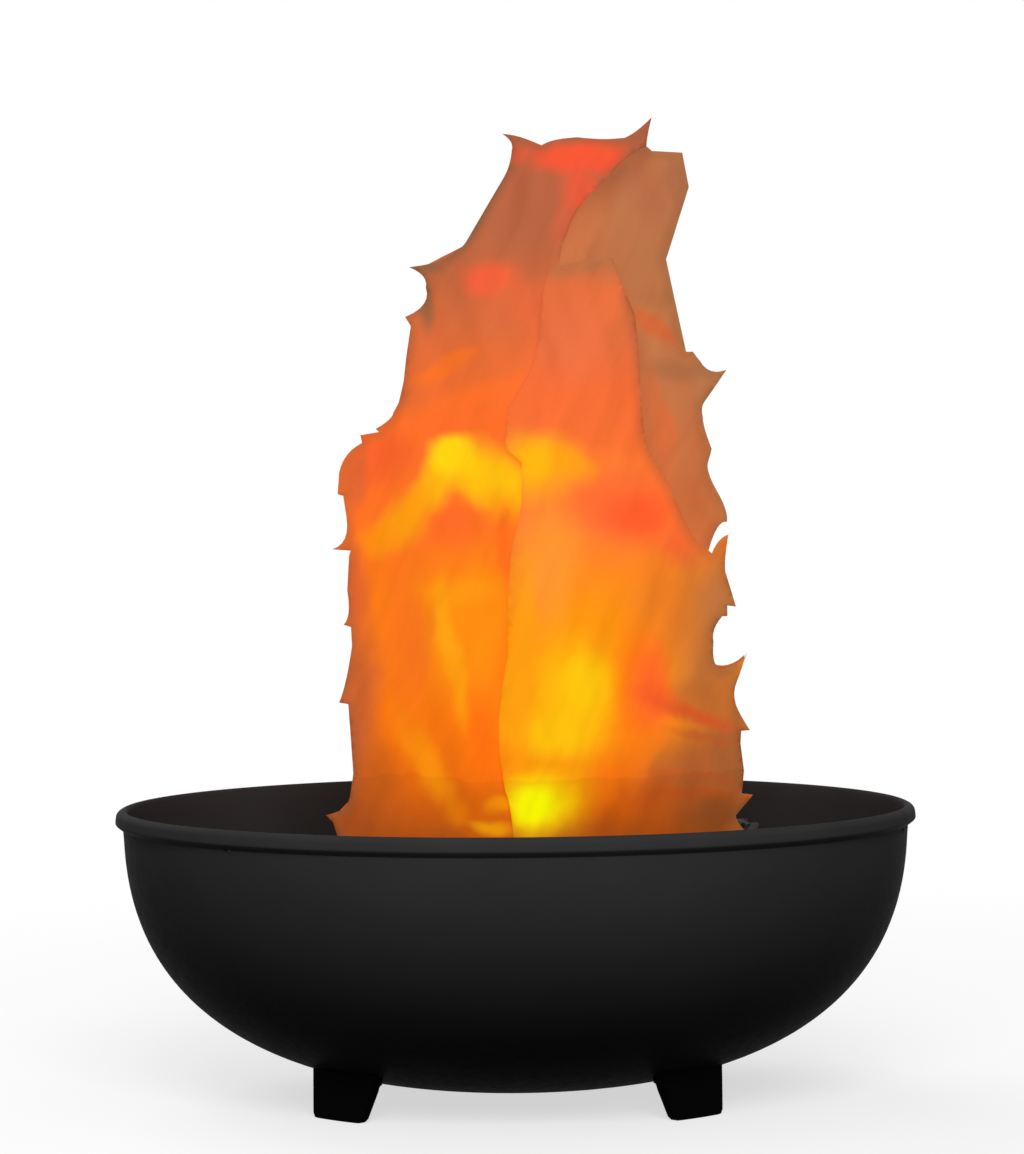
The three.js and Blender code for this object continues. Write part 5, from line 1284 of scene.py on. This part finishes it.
frontRightShares = [
    (0.001, 0), (-0.006, 0.121, -0.022, 0.131), (-0.039, 0.183, -0.036, 0.213),
    (-0.037, 0.237, -0.014, 0.307), (-0.013, 0.362), (-0.009, 0.433, 0.001, 0.452),
    (0.022, 0.495, 0.021, 0.514), (0.022, 0.552), (-0.015, 0.57), (-0.018, 0.592, -0.01, 0.622),
    (0.026, 0.654), (0.049, 0.675, 0.055, 0.691), (0.069, 0.72, 0.071, 0.762),
    (0.082, 0.802, 0.106, 0.805), (0.171, 0.811, 0.236, 0.815), (0.259, 0.777), (0.284, 0.743),
    (0.293, 0.707, 0.298, 0.628), (0.298, 0.601, 0.314, 0.566), (0.333, 0.544, 0.363, 0.52),
    (0.4, 0.465, 0.419, 0.452), (0.461, 0.431), (0.476, 0.451, 0.501, 0.455),
    (0.489, 0.423, 0.492, 0.407), (0.503, 0.387, 0.517, 0.361), (0.496, 0.363), (0.496, 0.349),
    (0.484, 0.349), (0.456, 0.333, 0.462, 0.316), (0.458, 0.292, 0.468, 0.286),
    (0.474, 0.276, 0.504, 0.284), (0.532, 0.286, 0.543, 0.303), (0.526, 0.273, 0.517, 0.263),
    (0.5, 0.243, 0.527, 0.218), (0.548, 0.199), (0.527, 0.198), (0.525, 0.182), (0.533, 0.146),
    (0.528, 0.116), (0.554, 0.114), (0.533, 0.099, 0.514, 0.087), (0.516, 0.077, 0.537, 0.066),
    (0.5, 0.028, 0.466, 0),
]
backRightShares = [
    (0.463, 0), (0.475, 0.04, 0.516, 0.084), (0.524, 0.113), (0.529, 0.144), (0.521, 0.177),
    (0.517, 0.215), (0.502, 0.239, 0.513, 0.26), (0.538, 0.273, 0.54, 0.295),
    (0.501, 0.275, 0.468, 0.283), (0.462, 0.312), (0.478, 0.344), (0.499, 0.352),
    (0.484, 0.389, 0.483, 0.405), (0.472, 0.42), (0.458, 0.431), (0.477, 0.474, 0.502, 0.471),
    (0.506, 0.486, 0.477, 0.513), (0.454, 0.538, 0.458, 0.548), (0.467, 0.567),
    (0.447, 0.596, 0.447, 0.609), (0.442, 0.623, 0.451, 0.629), (0.471, 0.644, 0.503, 0.671),
    (0.462, 0.662, 0.441, 0.683), (0.424, 0.695), (0.409, 0.695), (0.364, 0.817), (0.418, 0.911),
    (0.403, 0.956), (0.333, 0.959), (0.319, 0.966), (0.212, 0.962), (0.082, 0.852), (0.02, 0.661),
    (-0.023, 0.231), (-0.026, 0),
]
backLeftShares = [
    (0.042, 0), (0.035, 0.229), (0.053, 0.5), (0.114, 0.607), (0.187, 0.727), (0.31, 0.938),
    (0.313, 0.964), (0.32, 0.986), (0.283, 0.976, 0.264, 0.973), (0.158, 0.974), (0.075, 0.965),
    (0.012, 0.972), (0.015, 0.956), (-0.012, 0.921), (-0.091, 0.843), (-0.194, 0.813),
    (-0.19, 0.782), (-0.199, 0.761), (-0.23, 0.745), (-0.228, 0.729), (-0.241, 0.688),
    (-0.275, 0.611), (-0.31, 0.588), (-0.388, 0.554), (-0.401, 0.535), (-0.401, 0.516),
    (-0.385, 0.497), (-0.383, 0.464), (-0.374, 0.435), (-0.38, 0.372), (-0.392, 0.343),
    (-0.374, 0.332), (-0.399, 0.242), (-0.382, 0.231), (-0.372, 0.14), (-0.378, 0.112),
    (-0.418, 0.09), (-0.405, 0),
]


def riseShare(height):
    return max(0.0, height - silk["hem"]) / silk["rise"]


def freeShare(height):
    # 0 in the hem, 1 where the silk is free of it
    return smooth(height - silk["hem"], silk["hemZone"], silk["hemZone"] + silk["settle"])


def breadthShare(x, height):
    # -1 and 1 on the flame's own edges at that height
    rise, free = riseShare(height), freeShare(height)
    taper = silk["bodyHalf"] - (silk["bodyHalf"] - silk["topHalf"]) * rise ** silk["taperPower"]
    middle = free * silk["leanLow"] + silk["leanHigh"] * rise ** silk["leanPower"]
    return min(1.0, max(-1.0, (x - middle) / mix(rail["half"], taper, free)))


def silkDepth(x, height):
    # half depth of the flame, as in the part's source
    rise, free = riseShare(height), freeShare(height)
    bulge = silk["topBulge"] + (rail["bulge"] - silk["topBulge"]) * (1 - rise ** silk["bulgePower"])
    bow = mix(rail["bulge"], bulge, free)
    crest = math.cos(breadthShare(x, height) * math.pi / 2)
    wander = silk["creaseWander"] * math.sin(height / silk["creaseClimb"] * tau)
    folds = silk["fold"] * math.sin(tau * (x / silk["foldPitch"] + height / silk["foldClimb"]))
    folds += silk["ripple"] * math.sin(tau * (x / silk["ripplePitch"] - height / silk["rippleClimb"]))
    folds += silk["crease"] * math.sin(tau * (x / silk["creasePitch"] + wander))
    return rail["end"] + bow * crest + free * mix(silk["edgeFold"], 1, crest) * folds


def outlineOf(shares, steps=6):
    points = [shares[0]]
    for *bend, x, z in shares[1:]:
        startX, startZ = points[-1]
        bendX, bendZ = bend or ((startX + x) / 2, (startZ + z) / 2)
        for i in range(1, steps + 1):
            t = i / steps
            points.append((
                (1 - t) ** 2 * startX + 2 * t * (1 - t) * bendX + t * t * x,
                (1 - t) ** 2 * startZ + 2 * t * (1 - t) * bendZ + t * t * z,
            ))
    return [(x * silk["width"], silk["hem"] + z * silk["rise"]) for x, z in points]


def openEdges(outline):
    # the runs of an outline that no other silk lies over
    runs = []
    for a, b in zip(outline, outline[1:] + outline[:1]):
        middle = (a + b) / 2
        if abs(breadthShare(middle.x, middle.y)) > silk["openShare"] or middle.y > silk["openTop"]:
            runs.append((np.array(a), np.array(b)))
    return runs


def edgeDistances(points, runs):
    best = np.full(len(points), 1e3)
    for a, b in runs:
        along = b - a
        share = np.clip((points - a) @ along / max(along @ along, 1e-9), 0, 1)
        best = np.minimum(best, np.linalg.norm(points - a - share[:, None] * along, axis=1))
    return best


def silkGrid(low, high):
    # points in staggered rows, for even triangles
    cell, row = silk["cell"], silk["cell"] * silk["rowShare"]
    rows, columns = int((high.y - low.y) / row) + 2, int((high.x - low.x) / cell) + 2
    return [
        Vector((low.x + (i + 0.5 * (j % 2)) * cell, low.y + j * row))
        for j in range(rows) for i in range(columns)
    ]


def onFlame(x, height, side, layer):
    # a point of the flat cut set on the flame's body, clear of the silk below it
    free = freeShare(height)
    offset = mix(hemOuter if layer else hemInner, hemInner + layer * silk["layerGap"], free)
    step = silk["probe"]
    across = (silkDepth(x + step, height) - silkDepth(x - step, height)) / (2 * step)
    along = (silkDepth(x, height + step) - silkDepth(x, height - step)) / (2 * step)
    depth = silkDepth(x, height) + offset * math.sqrt(1 + across * across + along * along)
    return x, side * depth, height


def makeSilk(name, shares, side, layer):
    outline = [Vector(p) for p in outlineOf(shares)]
    low = Vector((min(p.x for p in outline), min(p.y for p in outline)))
    high = Vector((max(p.x for p in outline), max(p.y for p in outline)))
    edges = [(i, (i + 1) % len(outline)) for i in range(len(outline))]
    flat, _, faces, *_ = delaunay_2d_cdt(outline + silkGrid(low, high), edges, [], 1, 1e-4)
    mesh = cleaned(meshOf([onFlame(p.x, p.y, side, layer) for p in flat], faces), 180)
    rim = mesh.attributes.new("edgeDistance", "FLOAT", "POINT")
    places = np.array([(v.co.x / mm, v.co.z / mm) for v in mesh.vertices])
    rim.data.foreach_set("value", edgeDistances(places, openEdges(outline)))
    obj = piece(name + "_cloth", mesh, name, stands=[name])
    body = obj.modifiers.new("thickness", "SOLIDIFY")
    body.thickness = silk["thick"] * mm
    body.offset = 0


makeSilk("silk_front_left", frontLeftShares, -1, 0)
makeSilk("silk_front_right", frontRightShares, -1, 1)
makeSilk("silk_back_right", backRightShares, 1, 0)
makeSilk("silk_back_left", backLeftShares, 1, 1)
